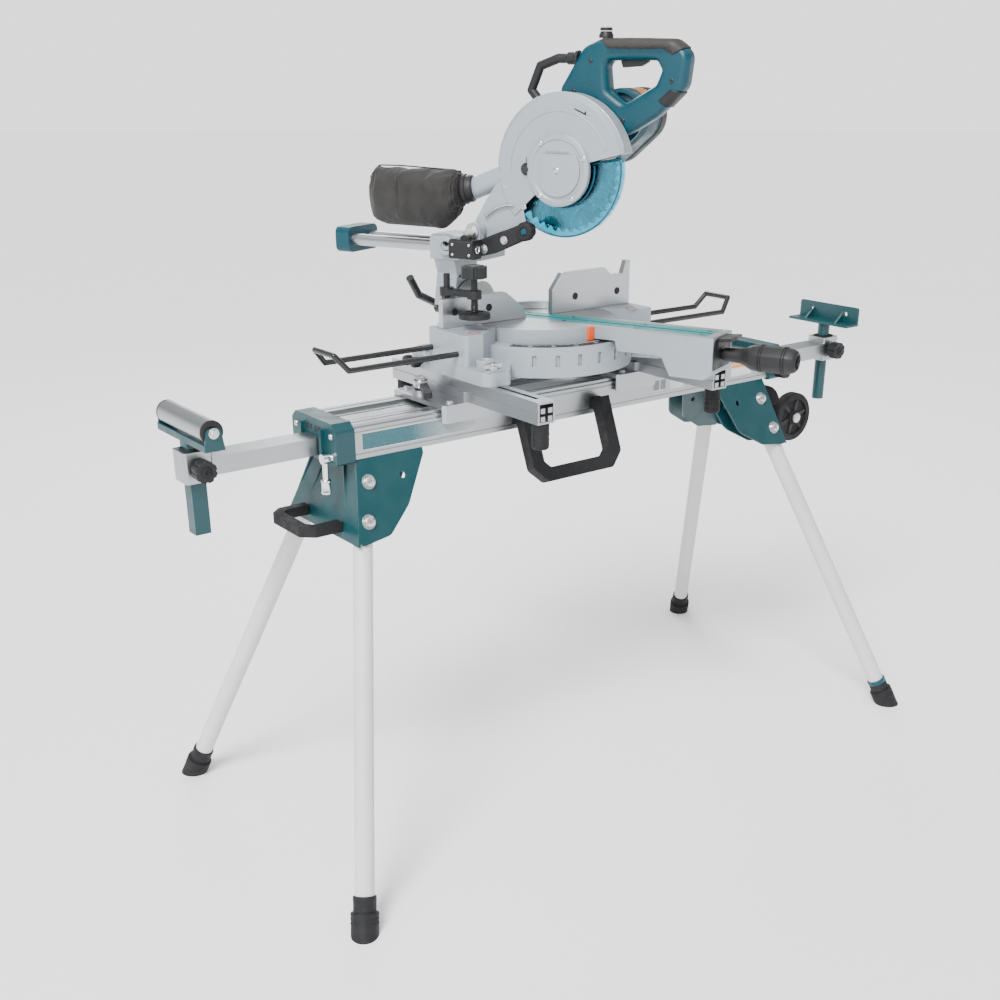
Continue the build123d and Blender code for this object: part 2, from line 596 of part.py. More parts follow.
def vise_stand():
    """Vise post in the base, and the arm that reaches over the fence."""
    x, y = VISE_POST
    post = rod((x, y, -30), (x, y, 92), 6)
    arm = rod((x, y, 54), (x, y, 68), 13) + rod((*VISE_AT, 54), (*VISE_AT, 68), 13)
    middle = top_plate([(x - 10, y - 4), (VISE_AT[0] - 9, VISE_AT[1]), (VISE_AT[0] + 9, VISE_AT[1]),
                        (x + 10, y + 2)], (56, 66))
    return post + ((arm + middle) - rod((*VISE_AT, 50), (*VISE_AT, 90), 6 + RUNNING))


def vise_screw():
    """Vise screw with its fluted knob."""
    screw = rod((*VISE_AT, 30.3), (*VISE_AT, 92), 6)
    return screw + knob((*VISE_AT, 90), (0, 0, 1), 23, 20, lobes=6)


def vise_pad():
    """Round pressure pad under the vise screw."""
    return rod((*VISE_AT, 20), (*VISE_AT, 28), 28) + rod((*VISE_AT, 28), (*VISE_AT, 30), 14)


# ---------------------------------------------------------------- saw: turntable (arm frame)
ARM_END = -365.0


def turntable():
    """Disc, grooved arm, rear neck and the fixed half of the bevel drum, in one casting."""
    shape = rod((0, 0, -26), (0, 0, 0), DISC_R)
    pocket = rod((0, 0, -27), (0, 0, -8), DISC_R - 7) - rod((0, 0, -28), (0, 0, 0), 26)
    shape -= pocket - block((-22, 22), (-DISC_R, 60), (-30, 0))
    shape += rod((0, 0, WELL_Z + 0.4), (0, 0, -20), 20)
    shape -= rod((0, 0, WELL_Z - 1), (0, 0, -26), 11)
    profile = [(-120, 0), (-120, -22), (-177, -22), (-182, -40), (-268, -40), (-286, -74), (-352, -74),
               (ARM_END, -60), (ARM_END, 0)]
    shape += side_plate(profile, (-44, 44), {4: 8, 6: 8})
    hollow = [(-196, -6), (-196, -30), (-270, -30), (-290, -64), (-350, -64), (-350, -6)]
    shape -= side_plate(hollow, (-38, 38))
    shape += block((-40, 40), (95, 140), (-24, -2))
    shape += rod((0, 130, 0), (0, 160, 0), DRUM_R)
    shape -= block((-100, 100), (100, 129.5), (-2, 100))
    shape -= block((-29, 29), (-347, 52), (-6, 2))
    shape -= block((-16, 16), (-338, 44), (-27, 2))
    shape += rod((0, -338, -79), (0, -338, -72), 16)
    shape -= rod((0, 120, 0), (0, 170, 0), 9 + RUNNING)
    shape -= rod((0, ARM_END - 1, GRIP_Z), (0, -340, GRIP_Z), 8 + RUNNING)
    return shape


def kerf_boards():
    """Two plastic kerf boards on either side of the blade's slot."""
    parts = []
    for side in (-1, 1):
        parts.append(block(sorted((side * 5, side * 28.5)), (-346, 51), (-5.9, -0.2)))
    return Compound(children=parts)


GRIP_Z = -34.0


def mitre_grip():
    """Mitre lock grip: a threaded shank, a neck and an eight-sided handle with a rounded end."""
    start = ARM_END - 1.0
    stem = rod((0, -342, GRIP_Z), (0, start, GRIP_Z), 8)
    stem += rod((0, start, GRIP_Z), (0, start - 30, GRIP_Z), 12)
    body = rod((0, start - 28, GRIP_Z), (0, start - 140, GRIP_Z), 24)
    plane = Plane(origin=(0, start - 28, GRIP_Z), x_dir=(1, 0, 0), z_dir=(0, -1, 0))
    prism = extrude(plane * RegularPolygon(24.5, 8), amount=112, dir=(0, -1, 0))
    body &= prism
    return stem + body


def detent_lever():
    """Detent release plate under the arm's top, pressed with the thumb."""
    width = (-26, 26)
    plate = side_plate([(ARM_END - 0.6, -3), (ARM_END - 26, -1), (ARM_END - 26, -6), (ARM_END - 4, -9),
                        (ARM_END - 4, -20), (ARM_END - 0.6, -20)], width)
    return plate + drum(width, (ARM_END - 2.3, -20), 1.7)


# ---------------------------------------------------------------- saw: bevel housing and slide
def bevel_housing():
    """Tilting half of the bevel drum, the column, and the sleeves that the poles slide in."""
    shape = rod((0, 161, 0), (0, 178, 0), DRUM_R)
    shape += rod((0, 122, 0), (0, 165, 0), 9)
    shape += front_plate([(-46, 10), (-34, 70), (-46, 100), (46, 100), (34, 70), (46, 10)], (163, 208))
    shape += front_plate([(-46, 96), (-46, 140), (46, 140), (46, 96)], (150, 215), {1: 10, 2: 10})
    shape += rod((0, 178, 0), (0, 214, 0), 18)
    for side in (-1, 1):
        x = side * POLE_X
        shape -= rod((x, 140, POLE_Z), (x, 230, POLE_Z), POLE_R + RUNNING)
    shape += rod((-46, 172, 128), (-58, 172, 128), 13)
    shape -= rod((-40, 172, 128), (-60, 172, 128), 7)
    return shape


def bevel_lever():
    """Bevel lock lever at the back of the column."""
    hub = rod((0, 214.5, 0), (0, 232, 0), 14)
    arm = bent_bar([(0, 224, 0), (-70, 228, 30), (-98, 228, 66)], 7.5)
    return hub + arm


def slide_poles():
    parts = []
    for side in (-1, 1):
        x = side * POLE_X
        parts.append(rod((x, 130, POLE_Z), (x, 425, POLE_Z), POLE_R))
    return Compound(children=parts)


def pole_end_cap():
    cap = front_plate([(-48, 94), (-48, 142), (48, 142), (48, 94)], (405, 437), {0: 12, 1: 12, 2: 12, 3: 12})
    for side in (-1, 1):
        cap -= rod((side * POLE_X, 400, POLE_Z), (side * POLE_X, 425, POLE_Z), POLE_R)
    return cap + rod((-20, 437, POLE_Z), (-20, 441, POLE_Z), 7)


EAR_X = (32.0, 45.0)


def hinge_block():
    """Front block on the poles, with the two ears and the pin of the head's hinge."""
    y, z = HEAD_HINGE
    shape = block((-45, 45), (104, 148), (98, 130)) - block((-26, 12), (100, 124), (113, 131))
    for side in (-1, 1):
        ear_x = sorted((side * EAR_X[0], side * EAR_X[1]))
        shape += drum(ear_x, HEAD_HINGE, 16) + block(ear_x, (y - 16, y + 22), (110, z))
        shape -= rod((side * POLE_X, 130, POLE_Z), (side * POLE_X, 150, POLE_Z), POLE_R)
    return shape + drum((-48, 48), HEAD_HINGE, 8)


def return_spring():
    """Coil spring on the hinge pin that lifts the head."""
    y, z = HEAD_HINGE
    path = Helix(pitch=3.4, height=17, radius=11.2)
    profile = Plane(origin=path @ 0, z_dir=path % 0) * Circle(1.3)
    coil = sweep(profile, path=path, is_frenet=True)
    return Plane(origin=(12.4, y, z), z_dir=(1, 0, 0)) * coil


def laser_unit():
    """Laser box on the left of the hinge block, with its switch."""
    shape = block((-82, -49), (98, 150), (104, 138))
    shape = fillet(shape.edges().filter_by(Axis.Y), 6)
    return shape + block((-49, -45), (112, 140), (108, 128)) + block((-72, -60), (112, 130), (138, 143))


# ---------------------------------------------------------------- saw: head (arm frame, head up)
CASE_R = 128.0
CASE_LEFT = -24.0                 # left face of the blade case
CASE_SLOPE = 7.0                  # sloping rim between that face and the case's edge
GUARD_PIVOT_R = 30.0              # sleeve that the lower guard turns on
DUCT = ((-4, 20, 268), (-4, 142, 222))
DUCT_R = 20.0
CAVITY_R = 120.0


def polar(radius, angle):
    """Point around the blade axis: angle 0 is forwards, 90 is up. Gives Y and Z."""
    a = radians(angle)
    return BLADE_AT[0] - radius * cos(a), BLADE_AT[1] + radius * sin(a)


def sector(x, radius, start, stop):
    """Pie slice around the blade axis."""
    steps = 6
    rim = [polar(radius * 1.6, start + (stop - start) * i / steps) for i in range(steps + 1)]
    return drum(x, BLADE_AT, radius) & side_plate([BLADE_AT] + rim, x)


def blade_case():
    """Upper guard, gear case, dust duct and the arm down to the hinge."""
    hinge = HEAD_HINGE
    face = Plane(origin=(CASE_LEFT, *BLADE_AT), z_dir=(1, 0, 0))
    slope = face * Cone(CASE_R - CASE_SLOPE, CASE_R, CASE_SLOPE,
                        align=(Align.CENTER, Align.CENTER, Align.MIN))
    shape = sector((CASE_LEFT, 16), CASE_R, 14, 222)
    shape -= drum((CASE_LEFT - 1, CASE_LEFT + CASE_SLOPE), BLADE_AT, CASE_R + 10) - slope
    shape += drum((-28, 16), BLADE_AT, 62)
    shape += side_plate([(hinge[0] + 4, hinge[1] - 15), (hinge[0] + 15, hinge[1] + 6), (104, 205), (78, 240),
                         (40, 250), (20, 172), (hinge[0] - 12, hinge[1] - 13)], (-22, 9))
    shape += drum((-31.5, 9), hinge, 17)
    shape += rod(DUCT[0], DUCT[1], DUCT_R)
    shape += drum((15, 48), BLADE_AT, 54) + drum((15, 48), MOTOR_AT, 46)
    shape -= drum((-21, 12), BLADE_AT, CAVITY_R)
    shape -= drum((20, 44), BLADE_AT, GEAR_R + 1.5) + drum((20, 52), MOTOR_AT, PINION_R + 2)
    sleeve = drum((-22, -5.9), BLADE_AT, GUARD_PIVOT_R) - drum((-22, -5.9), BLADE_AT, 26)
    bearing = drum((7, 14), BLADE_AT, 26)
    shape = shape + sleeve + bearing - drum((0, 30), BLADE_AT, BORE_R)
    start, end = Vector(*DUCT[0]), Vector(*DUCT[1])
    shape -= rod(start * 0.35 + end * 0.65, end * 1.1 - start * 0.1, DUCT_R - 4)
    shape -= drum((-40, 20), hinge, 8 + RUNNING)
    return shape


def lower_guard():
    """Clear guard over the lower front of the blade: two side sheets joined by a rim."""
    start, stop = -150, 12
    left = sector((-8.4, -6.4), 116, start, stop) - drum((-9, -6), BLADE_AT, 34)
    right = sector((5.0, 6.6), 116, start, stop) - drum((4, 8), BLADE_AT, 62)
    rim = sector((-8.4, 6.6), 116, start, stop) - drum((-9, 8), BLADE_AT, 113.6)
    ring = drum((-8.4, -6.4), BLADE_AT, 42) - drum((-9, -6), BLADE_AT, GUARD_PIVOT_R + RUNNING)
    return left + right + rim + ring


TEETH = 40


def blade():
    """Toothed disc with expansion slots."""
    points = []
    for i in range(TEETH):
        base = -360.0 * i / TEETH
        for radius, turn in ((BLADE_R, 0), (BLADE_R - 1.2, 2.6), (BLADE_R - 7, 5.6), (BLADE_R - 7.5, 7.6)):
            points.append(polar(radius, base - turn))
    shape = side_plate(points, (-1.1, 1.1))
    for i in range(4):
        y, z = polar(84, 45 + 90 * i)
        shape -= drum((-3, 3), (y, z), 3)
    return shape - drum((-3, 3), BLADE_AT, BORE_R)


def spindle():
    """Arbor with flanges, blade bolt and driven gear."""
    shape = drum((-1.1, 1.1), BLADE_AT, BORE_R) + drum((-5.6, -1.1), BLADE_AT, 25)
    shape += drum((1.1, 4.6), BLADE_AT, 25) + drum((4.6, 42), BLADE_AT, 14.94)
    plane = Plane(origin=(-5.6, *BLADE_AT), z_dir=(-1, 0, 0))
    shape += extrude(plane * RegularPolygon(9, 6), amount=7, dir=(-1, 0, 0))
    return shape + drum((24, 36), BLADE_AT, GEAR_R)


MOTOR_UPPER = (-128.0, 350.0)     # upper lobe of the motor shell, Y and Z
MOTOR_END = 160.0                 # right end of the motor shell


def motor_hull(x, radius):
    """Rounded shape around the motor's axis and the shell's upper lobe."""
    circles = Pos(*MOTOR_AT) * Circle(radius), Pos(*MOTOR_UPPER) * Circle(radius - 4)
    face = Plane.YZ.offset(x[0]) * make_hull(circles[0].edges() + circles[1].edges())
    return extrude(face, amount=x[1] - x[0], dir=(1, 0, 0))


def motor_housing():
    """Motor shell on the right of the gear case, with cooling slots and the cable inlet."""
    shape = motor_hull((48.2, MOTOR_END), 50)
    shape = chamfer(shape.faces().sort_by(Axis.X)[-1].edges(), 8)
    shape -= motor_hull((48, MOTOR_END - 8), 43)
    for i in range(-3, 4):
        y, z = (MOTOR_AT[0] + MOTOR_UPPER[0]) / 2, (MOTOR_AT[1] + MOTOR_UPPER[1]) / 2 + 9 * i
        shape -= block((MOTOR_END - 10, MOTOR_END + 5), (y - 22, y + 22), (z - 1.8, z + 1.8))
    inlet = rod((118, MOTOR_AT[0] + 44, MOTOR_AT[1]), (118, MOTOR_AT[0] + 72, MOTOR_AT[1] - 6), 10)
    return shape + inlet


def armature():
    """Motor rotor with its shaft and pinion."""
    shape = drum((68, 128), MOTOR_AT, 32) + drum((22, 140), MOTOR_AT, 7)
    return shape + drum((24, 36), MOTOR_AT, PINION_R)


HANDLE_X = (20.0, 58.0)


def handle():
    """Closed D-handle moulded with the switch housing."""
    outer = [(-20, 392), (-66, 462), (-96, 474), (-236, 472), (-268, 452), (-262, 398), (-212, 352),
             (-152, 318), (-96, 330), (-30, 370)]
    inner = [(-112, 440), (-206, 440), (-216, 424), (-206, 402), (-150, 372), (-118, 392)]
    shape = side_plate(outer, HANDLE_X, {0: 14, 1: 20, 2: 16, 3: 22, 4: 20, 5: 24, 6: 20})
    shape -= side_plate(inner, (0, 90), {0: 8, 1: 6, 2: 6, 3: 10, 4: 12, 5: 10})
    shape = shape - drum((10, 50), BLADE_AT, CASE_R + 0.5) - drum((10, 49), MOTOR_AT, 51)
    shape -= motor_hull((48, 200), 50.2)
    shape -= block((32, 46), (-190, -130), (430, 452))
    x = sum(HANDLE_X) / 2
    return shape - rod((x, -104, 455), (x, -104, 480), 6 + RUNNING)


def handle_grip():
    """Rubber over the top of the D-handle."""
    low, high = HANDLE_X
    shape = side_plate([(-112, 446), (-92, 470), (-100, 479), (-238, 477), (-262, 462), (-256, 446)],
                       (low - 3, high + 3), {1: 8, 2: 8, 3: 14, 4: 8})
    shape = shape - handle() - block((31.5, 46.5), (-190.5, -129.5), (430, 453))
    x = sum(HANDLE_X) / 2
    return shape - rod((x, -104, 455), (x, -104, 490), 11)


TRIGGER_PIN = (-134.0, 443.0)      # Y and Z of the trigger's hinge


def trigger():
    x = sum(HANDLE_X) / 2
    plate = side_plate([(-134, 445), (-184, 445), (-186, 438), (-172, 431), (-140, 429)], (x - 6, x + 6))
    return plate + drum((x - 6, x + 6), TRIGGER_PIN, 2.8)


def lock_button():
    """Lock-off button on top of the handle."""
    x = sum(HANDLE_X) / 2
    return rod((x, -104, 460), (x, -104, 486), 6) + rod((x, -104, 486), (x, -104, 494), 10)


def carry_bar():
    """Black carrying bar over the back of the upper guard."""
    x = 34.0
    return bent_bar([(x, 10, 360), (x, 40, 392), (x, 22, 432), (x, -14, 444), (x, -34, 444)], 8)


def dust_bag():
    """Plain solid with the bag's outer shape."""
    side = [(154, 196), (160, 176), (200, 147), (352, 150), (366, 178), (362, 246), (340, 262), (166, 254),
            (154, 240)]
    return side_plate(side, (-62, 22), {i: 8 for i in range(9)})


# ---------------------------------------------------------------- write every sub-part
def main():
    os.makedirs("parts", exist_ok=True)
    save("beam", beam())
    save("end_caps", Compound(children=[end_cap(-1), end_cap(1)]))
    for side in ("left", "right"):
        save(f"leg_housing_{side}", leg_housing(side))
        for face, name in ((-1, "front"), (1, "rear")):
            save(f"leg_{name}_{side}", leg(side, face))
            save(f"foot_{name}_{side}", foot(side, face))
    save("leg_pivots", leg_pivots())
    save("wheels", wheels())
    save("handles", Compound(children=[carry_handle(), end_grip()]))
    save("extension_lock_lever", extension_lock_lever())
    save("extension_lock_knob", extension_lock_knob())
    for side, name in ((-1, "left"), (1, "right")):
        save(f"extension_{name}", extension(side))
        save(f"collar_knob_{name}", collar_knob(side))
    save("roller_post", roller_post())
    save("roller", roller())
    save("stop_post", stop_post())
    save("bracket_rails", bracket_rails())
    save("bracket_saddles", bracket_saddles())
    save("rail_posts", rail_posts())
    for x, name in zip(BRACKETS, ("left", "right")):
        save(f"clamp_lever_{name}", clamp_lever(x))
    save("tool_bolts", tool_bolts())
    fixed = {"base_casting": base_casting, "fence": fence, "vise_stand": vise_stand,
             "vise_screw": vise_screw, "vise_pad": vise_pad}
    for node, make in fixed.items():
        save(node, SAW * make())
    for side, name in ((-1, "left"), (1, "right")):
        save(f"side_rod_{name}", SAW * side_rod(side))
    turning = {"turntable": turntable, "kerf_boards": kerf_boards, "mitre_grip": mitre_grip,
               "detent_lever": detent_lever, "bevel_housing": bevel_housing, "bevel_lever": bevel_lever,
               "slide_poles": slide_poles, "pole_end_cap": pole_end_cap, "hinge_block": hinge_block,
               "return_spring": return_spring, "laser_unit": laser_unit, "blade_case": blade_case,
               "lower_guard": lower_guard, "blade": blade, "spindle": spindle, "armature": armature,
               "motor_housing": motor_housing, "handle": handle, "handle_grip": handle_grip,
               "trigger": trigger, "lock_button": lock_button, "carry_bar": carry_bar, "dust_bag": dust_bag}
    for node, make in turning.items():
        save(node, ARM * make())


main()
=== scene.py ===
"""Slide mitre saw on its leg stand: materials, dust bag and fine detail around the CAD frame.

Sizes are millimetres in the frame of the part they belong to, and are turned into metres when a
piece is put in place: STAND for the leg stand, SAW for the saw's base, ARM for everything that
turns with the mitre table (its arm points along -Y there).
"""
import json
from math import acos, atan2, copysign, cos, hypot, pi, radians, sin, tan

import bmesh
import bpy
from mathutils import Matrix, Vector


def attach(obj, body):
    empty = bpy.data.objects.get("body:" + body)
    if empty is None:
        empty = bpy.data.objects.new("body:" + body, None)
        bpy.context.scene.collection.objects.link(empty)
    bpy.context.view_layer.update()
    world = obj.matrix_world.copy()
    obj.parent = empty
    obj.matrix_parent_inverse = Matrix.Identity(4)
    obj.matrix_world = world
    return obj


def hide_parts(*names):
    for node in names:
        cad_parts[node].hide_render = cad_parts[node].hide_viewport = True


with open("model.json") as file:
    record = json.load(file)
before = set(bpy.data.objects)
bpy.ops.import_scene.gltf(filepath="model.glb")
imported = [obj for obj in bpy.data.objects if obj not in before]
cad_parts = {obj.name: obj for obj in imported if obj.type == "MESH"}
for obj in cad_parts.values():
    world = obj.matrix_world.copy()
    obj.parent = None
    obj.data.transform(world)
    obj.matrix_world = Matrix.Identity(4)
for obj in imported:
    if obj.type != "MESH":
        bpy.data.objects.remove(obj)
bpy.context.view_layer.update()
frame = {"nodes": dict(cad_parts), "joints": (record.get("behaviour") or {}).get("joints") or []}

MM = 0.001
JOINTS = {joint["name"]: joint for joint in frame["joints"]}
PIVOT = Vector(JOINTS["mitre_turn"]["pos_m"])
ARM_WAY = JOINTS["head_slide"]["axis"]
MITRE = atan2(ARM_WAY[0], -ARM_WAY[1])
STAND = Matrix.Scale(MM, 4)
SAW = Matrix.Translation(PIVOT) @ Matrix.Scale(MM, 4)
ARM = Matrix.Translation(PIVOT) @ Matrix.Rotation(MITRE, 4, "Z") @ Matrix.Scale(MM, 4)
LEFT, FRONT, UP = (-1, 0, 0), (0, -1, 0), (0, 0, 1)
SHARP = radians(34)                # edges that turn more than this stay crisp
LEGS = ("front_left", "rear_left", "front_right", "rear_right")
FOOT_X, FOOT_Y, LEG_DROP = 700, 343, 690
RAIL_X = (-268.5, 140.5)           # the two saw brackets
VISE_AT = (-178, -36)
COLLAR_X, COLLAR_Z = 774, 757      # clamping collars at the ends of the extensions


def show(name, data):
    """New object in the scene."""
    made = bpy.data.objects.new(name, data)
    bpy.context.scene.collection.objects.link(made)
    return made


# ---------------------------------------------------------------- material nodes
class Finish:
    """A node material on the Principled shader, patterned by the object's own coordinates."""

    def __init__(self, name, colour, roughness, metallic=0.0, stretch=(1, 1, 1), **sockets):
        self.material = bpy.data.materials.new(name)
        self.material.use_nodes = True
        self.tree = self.material.node_tree
        self.shader = self.tree.nodes["Principled BSDF"]
        sockets.update(Base_Color=(*colour, 1), Roughness=roughness, Metallic=metallic)
        for socket, value in sockets.items():
            self.wire(socket, value)
        self.plain = self.add("ShaderNodeTexCoord").outputs["Object"]
        self.where = self.add("ShaderNodeMapping", Vector=self.plain, Scale=stretch).outputs["Vector"]
        self.normal = None

    def add(self, kind, **inputs):
        node = self.tree.nodes.new(kind)
        for socket, value in inputs.items():
            self.feed(node.inputs[socket.replace("_", " ")], value)
        return node

    def feed(self, socket, value):
        if isinstance(value, bpy.types.NodeSocket):
            self.tree.links.new(value, socket)
        else:
            socket.default_value = value

    def wire(self, socket, value):
        """Sets or links an input of the Principled shader."""
        self.feed(self.shader.inputs[socket.replace("_", " ")], value)

    def math(self, operation, a, b=0.0, clamp=False):
        node = self.tree.nodes.new("ShaderNodeMath")
        node.operation, node.use_clamp = operation, clamp
        self.feed(node.inputs[0], a)
        self.feed(node.inputs[1], b)
        return node.outputs[0]

    def noise(self, scale, detail=3.0, rough=0.5, where=None):
        node = self.add("ShaderNodeTexNoise", Vector=where or self.where, Scale=scale, Detail=detail,
                        Roughness=rough)
        return node.outputs["Fac"]

    def spread(self, value, low, high, to_low=0.0, to_high=1.0):
        node = self.add("ShaderNodeMapRange", Value=value, From_Min=low, From_Max=high,
                        To_Min=to_low, To_Max=to_high)
        return node.outputs["Result"]

    def mix(self, amount, a, b):
        node = self.tree.nodes.new("ShaderNodeMix")
        node.data_type = "RGBA"
        self.feed(node.inputs[0], amount)
        for socket, value in ((node.inputs[6], a), (node.inputs[7], b)):
            self.feed(socket, value if isinstance(value, bpy.types.NodeSocket) else (*value, 1))
        return node.outputs[2]

    def paint(self, colour):
        self.wire("Base Color", colour)

    def gloss(self, low, high, scale, detail=4.0):
        """Roughness that wanders between two values."""
        self.wire("Roughness", self.spread(self.noise(scale, detail), 0.35, 0.65, low, high))

    def bump(self, height, strength, distance):
        node = self.add("ShaderNodeBump", Height=height, Strength=strength, Distance=distance)
        if self.normal:
            self.tree.links.new(self.normal, node.inputs["Normal"])
        self.normal = node.outputs["Normal"]
        self.wire("Normal", self.normal)

    def rounded(self, radius):
        """Small rounding on hard edges, and a mask that is 1 along them."""
        node = self.add("ShaderNodeBevel", Radius=radius)
        node.samples = 4
        self.normal = node.outputs["Normal"]
        self.wire("Normal", self.normal)
        dot = self.add("ShaderNodeVectorMath")
        dot.operation = "DOT_PRODUCT"
        self.feed(dot.inputs[0], self.normal)
        self.feed(dot.inputs[1], self.add("ShaderNodeNewGeometry").outputs["Normal"])
        return self.spread(dot.outputs["Value"], 0.97, 0.80, 0.0, 1.0)


def shade(colour, factor):
    return tuple(min(1.0, part * factor) for part in colour)


def painted(name, colour, roughness=0.38, peel=0.25, edge=1.25, metallic=0.0):
    """Paint on metal: slightly mottled, orange-peel surface, thinner and lighter along the edges."""
    finish = Finish(name, colour, roughness, metallic=metallic, Specular_IOR_Level=0.45)
    edges = finish.rounded(0.0012)
    mottled = finish.mix(finish.noise(9.0, 5.0, 0.6), shade(colour, 0.93), shade(colour, 1.06))
    scuff = finish.spread(finish.noise(160.0, 4.0, 0.7), 0.42, 0.62)
    worn = finish.math("MULTIPLY", edges, scuff, clamp=True)
    finish.paint(finish.mix(finish.math("MULTIPLY", worn, 0.7), mottled, shade(colour, edge)))
    finish.gloss(roughness - 0.07, roughness + 0.1, 30.0)
    finish.bump(finish.noise(650.0, 2.0), peel, 0.0003)
    return finish.material


def bare_metal(name, colour, roughness, stretch=(1, 1, 1), streak=0.35, tone=0.12):
    """Extruded, rolled or milled metal: fine streaks along its length."""
    finish = Finish(name, colour, roughness, metallic=1.0, stretch=stretch)
    edges = finish.rounded(0.0008)
    lines = finish.noise(900.0, 3.0, 0.7)
    cloud = finish.noise(6.0, 4.0, 0.6, where=finish.plain)
    streaked = finish.mix(lines, shade(colour, 1 - tone), shade(colour, 1 + tone))
    clouded = finish.mix(finish.spread(cloud, 0.3, 0.7, 0.0, 0.35), streaked, shade(colour, 0.8))
    finish.paint(finish.mix(finish.math("MULTIPLY", edges, 0.5), clouded, shade(colour, 1.3)))
    rough = finish.math("ADD", finish.spread(lines, 0.3, 0.7, -0.06, 0.08), roughness)
    finish.wire("Roughness", rough)
    finish.bump(lines, streak, 0.0001)
    return finish.material


def moulded(name, colour, roughness=0.45, grain=0.3, grain_size=1400.0, tone=0.1, shine=0.35):
    """Moulded plastic: fine leather grain, dust-dulled patches, slightly polished edges."""
    finish = Finish(name, colour, roughness, Specular_IOR_Level=shine)
    edges = finish.rounded(0.0012)
    patch = finish.noise(14.0, 5.0, 0.6)
    mottled = finish.mix(patch, shade(colour, 1 - tone), shade(colour, 1 + tone))
    finish.paint(finish.mix(finish.math("MULTIPLY", edges, 0.35), mottled, shade(colour, 1.5)))
    finish.gloss(roughness - 0.08, roughness + 0.12, 40.0)
    finish.bump(finish.noise(grain_size, 2.0, 0.6), grain, 0.00025)
    return finish.material


def rubbery(name, colour, roughness=0.7):
    """Moulded rubber: matt, with scuffs and a little dust."""
    finish = Finish(name, colour, roughness, Specular_IOR_Level=0.3)
    finish.rounded(0.0015)
    dust = finish.spread(finish.noise(35.0, 6.0, 0.65), 0.5, 0.8, 0.0, 0.3)
    finish.paint(finish.mix(dust, colour, shade(colour, 2.6)))
    finish.gloss(roughness - 0.1, roughness + 0.1, 60.0)
    finish.bump(finish.noise(900.0, 3.0, 0.6), 0.35, 0.0004)
    return finish.material


LONG_X = (0.02, 1.0, 1.0)          # streaks along X
LONG_Y = (1.0, 0.02, 1.0)

PROFILE = bare_metal("profile_aluminium", (0.42, 0.44, 0.45), 0.34, LONG_X)
RAIL = bare_metal("rail_aluminium", (0.46, 0.47, 0.49), 0.36, LONG_Y)
TEAL_PAINT = painted("teal_paint", (0.003, 0.042, 0.05), 0.36, edge=2.2)
LEG_PAINT = painted("leg_paint", (0.58, 0.58, 0.57), 0.42, peel=0.4)
CAST = painted("cast_paint", (0.30, 0.335, 0.365), 0.34, metallic=0.2)
BLACK_STEEL = painted("black_steel", (0.014, 0.014, 0.015), 0.24, edge=3.0)
BLACK_PLASTIC = moulded("black_plastic", (0.010, 0.010, 0.011), 0.48)
RUBBER = rubbery("rubber_black", (0.009, 0.009, 0.010))
GRIP_RUBBER = rubbery("grip_rubber", (0.028, 0.026, 0.024), 0.6)
TEAL_PLASTIC = moulded("teal_plastic", (0.0005, 0.042, 0.062), 0.34, grain=0.12)
KERF = moulded("kerf_turquoise", (0.003, 0.15, 0.155), 0.42, grain=0.2)
ORANGE = moulded("orange_plastic", (0.75, 0.085, 0.004), 0.35, grain=0.1)
ZINC = bare_metal("zinc_steel", (0.62, 0.62, 0.63), 0.3, streak=0.1)
CHROME = bare_metal("chrome", (0.8, 0.8, 0.82), 0.1, streak=0.02, tone=0.03)
SPRING = bare_metal("spring_steel", (0.3, 0.3, 0.31), 0.3)
WINDING = bare_metal("winding", (0.45, 0.22, 0.1), 0.4)
FENCE = bare_metal("fence_aluminium", (0.5, 0.52, 0.54), 0.34, LONG_X)


def clear_guard():
    """Tinted clear polycarbonate, with faint wiping marks in its gloss only."""
    finish = Finish("clear_guard", (0.2, 0.62, 0.74), 0.04, IOR=1.05, Transmission_Weight=1.0,
                    Coat_Weight=0.6, Coat_Roughness=0.05)
    finish.gloss(0.03, 0.09, 30.0)
    return finish.material


GUARD = clear_guard()


def machined_table():
    """Turntable: painted casting whose top is faced on a lathe, with fine rings round the pivot."""
    colour = (0.3, 0.335, 0.365)
    finish = Finish("machined_table", colour, 0.36, metallic=0.3)
    edges = finish.rounded(0.001)
    centred = finish.add("ShaderNodeMapping", Vector=finish.plain, Location=(-PIVOT.x, -PIVOT.y, 0))
    rings = finish.add("ShaderNodeTexWave", Vector=centred.outputs["Vector"], Scale=230.0, Distortion=1.5,
                       Detail=3.0)
    rings.wave_type, rings.rings_direction = "RINGS", "Z"
    height = finish.add("ShaderNodeSeparateXYZ", Vector=finish.plain).outputs["Z"]
    top = finish.spread(height, PIVOT.z - 0.0012, PIVOT.z - 0.0008)
    mottled = finish.mix(finish.noise(9.0, 5.0), shade(colour, 0.92), shade(colour, 1.06))
    cloud = finish.mix(finish.noise(5.0, 5.0, 0.6), (0.24, 0.25, 0.255), (0.38, 0.39, 0.4))
    turned = finish.mix(finish.spread(rings.outputs["Fac"], 0.0, 1.0, 0.0, 0.35), cloud, (0.5, 0.51, 0.52))
    both = finish.mix(top, mottled, turned)
    finish.paint(finish.mix(finish.math("MULTIPLY", edges, 0.4), both, (0.62, 0.64, 0.66)))
    metal = finish.math("ADD", finish.math("MULTIPLY", top, 0.55), 0.35)
    finish.wire("Metallic", metal)
    rough = finish.math("ADD", finish.spread(finish.noise(30.0, 4.0), 0.3, 0.7, -0.06, 0.08), 0.36)
    finish.wire("Roughness", rough)
    grooves = finish.math("MULTIPLY", rings.outputs["Fac"], top)
    finish.bump(grooves, 0.25, 0.0001)
    return finish.material


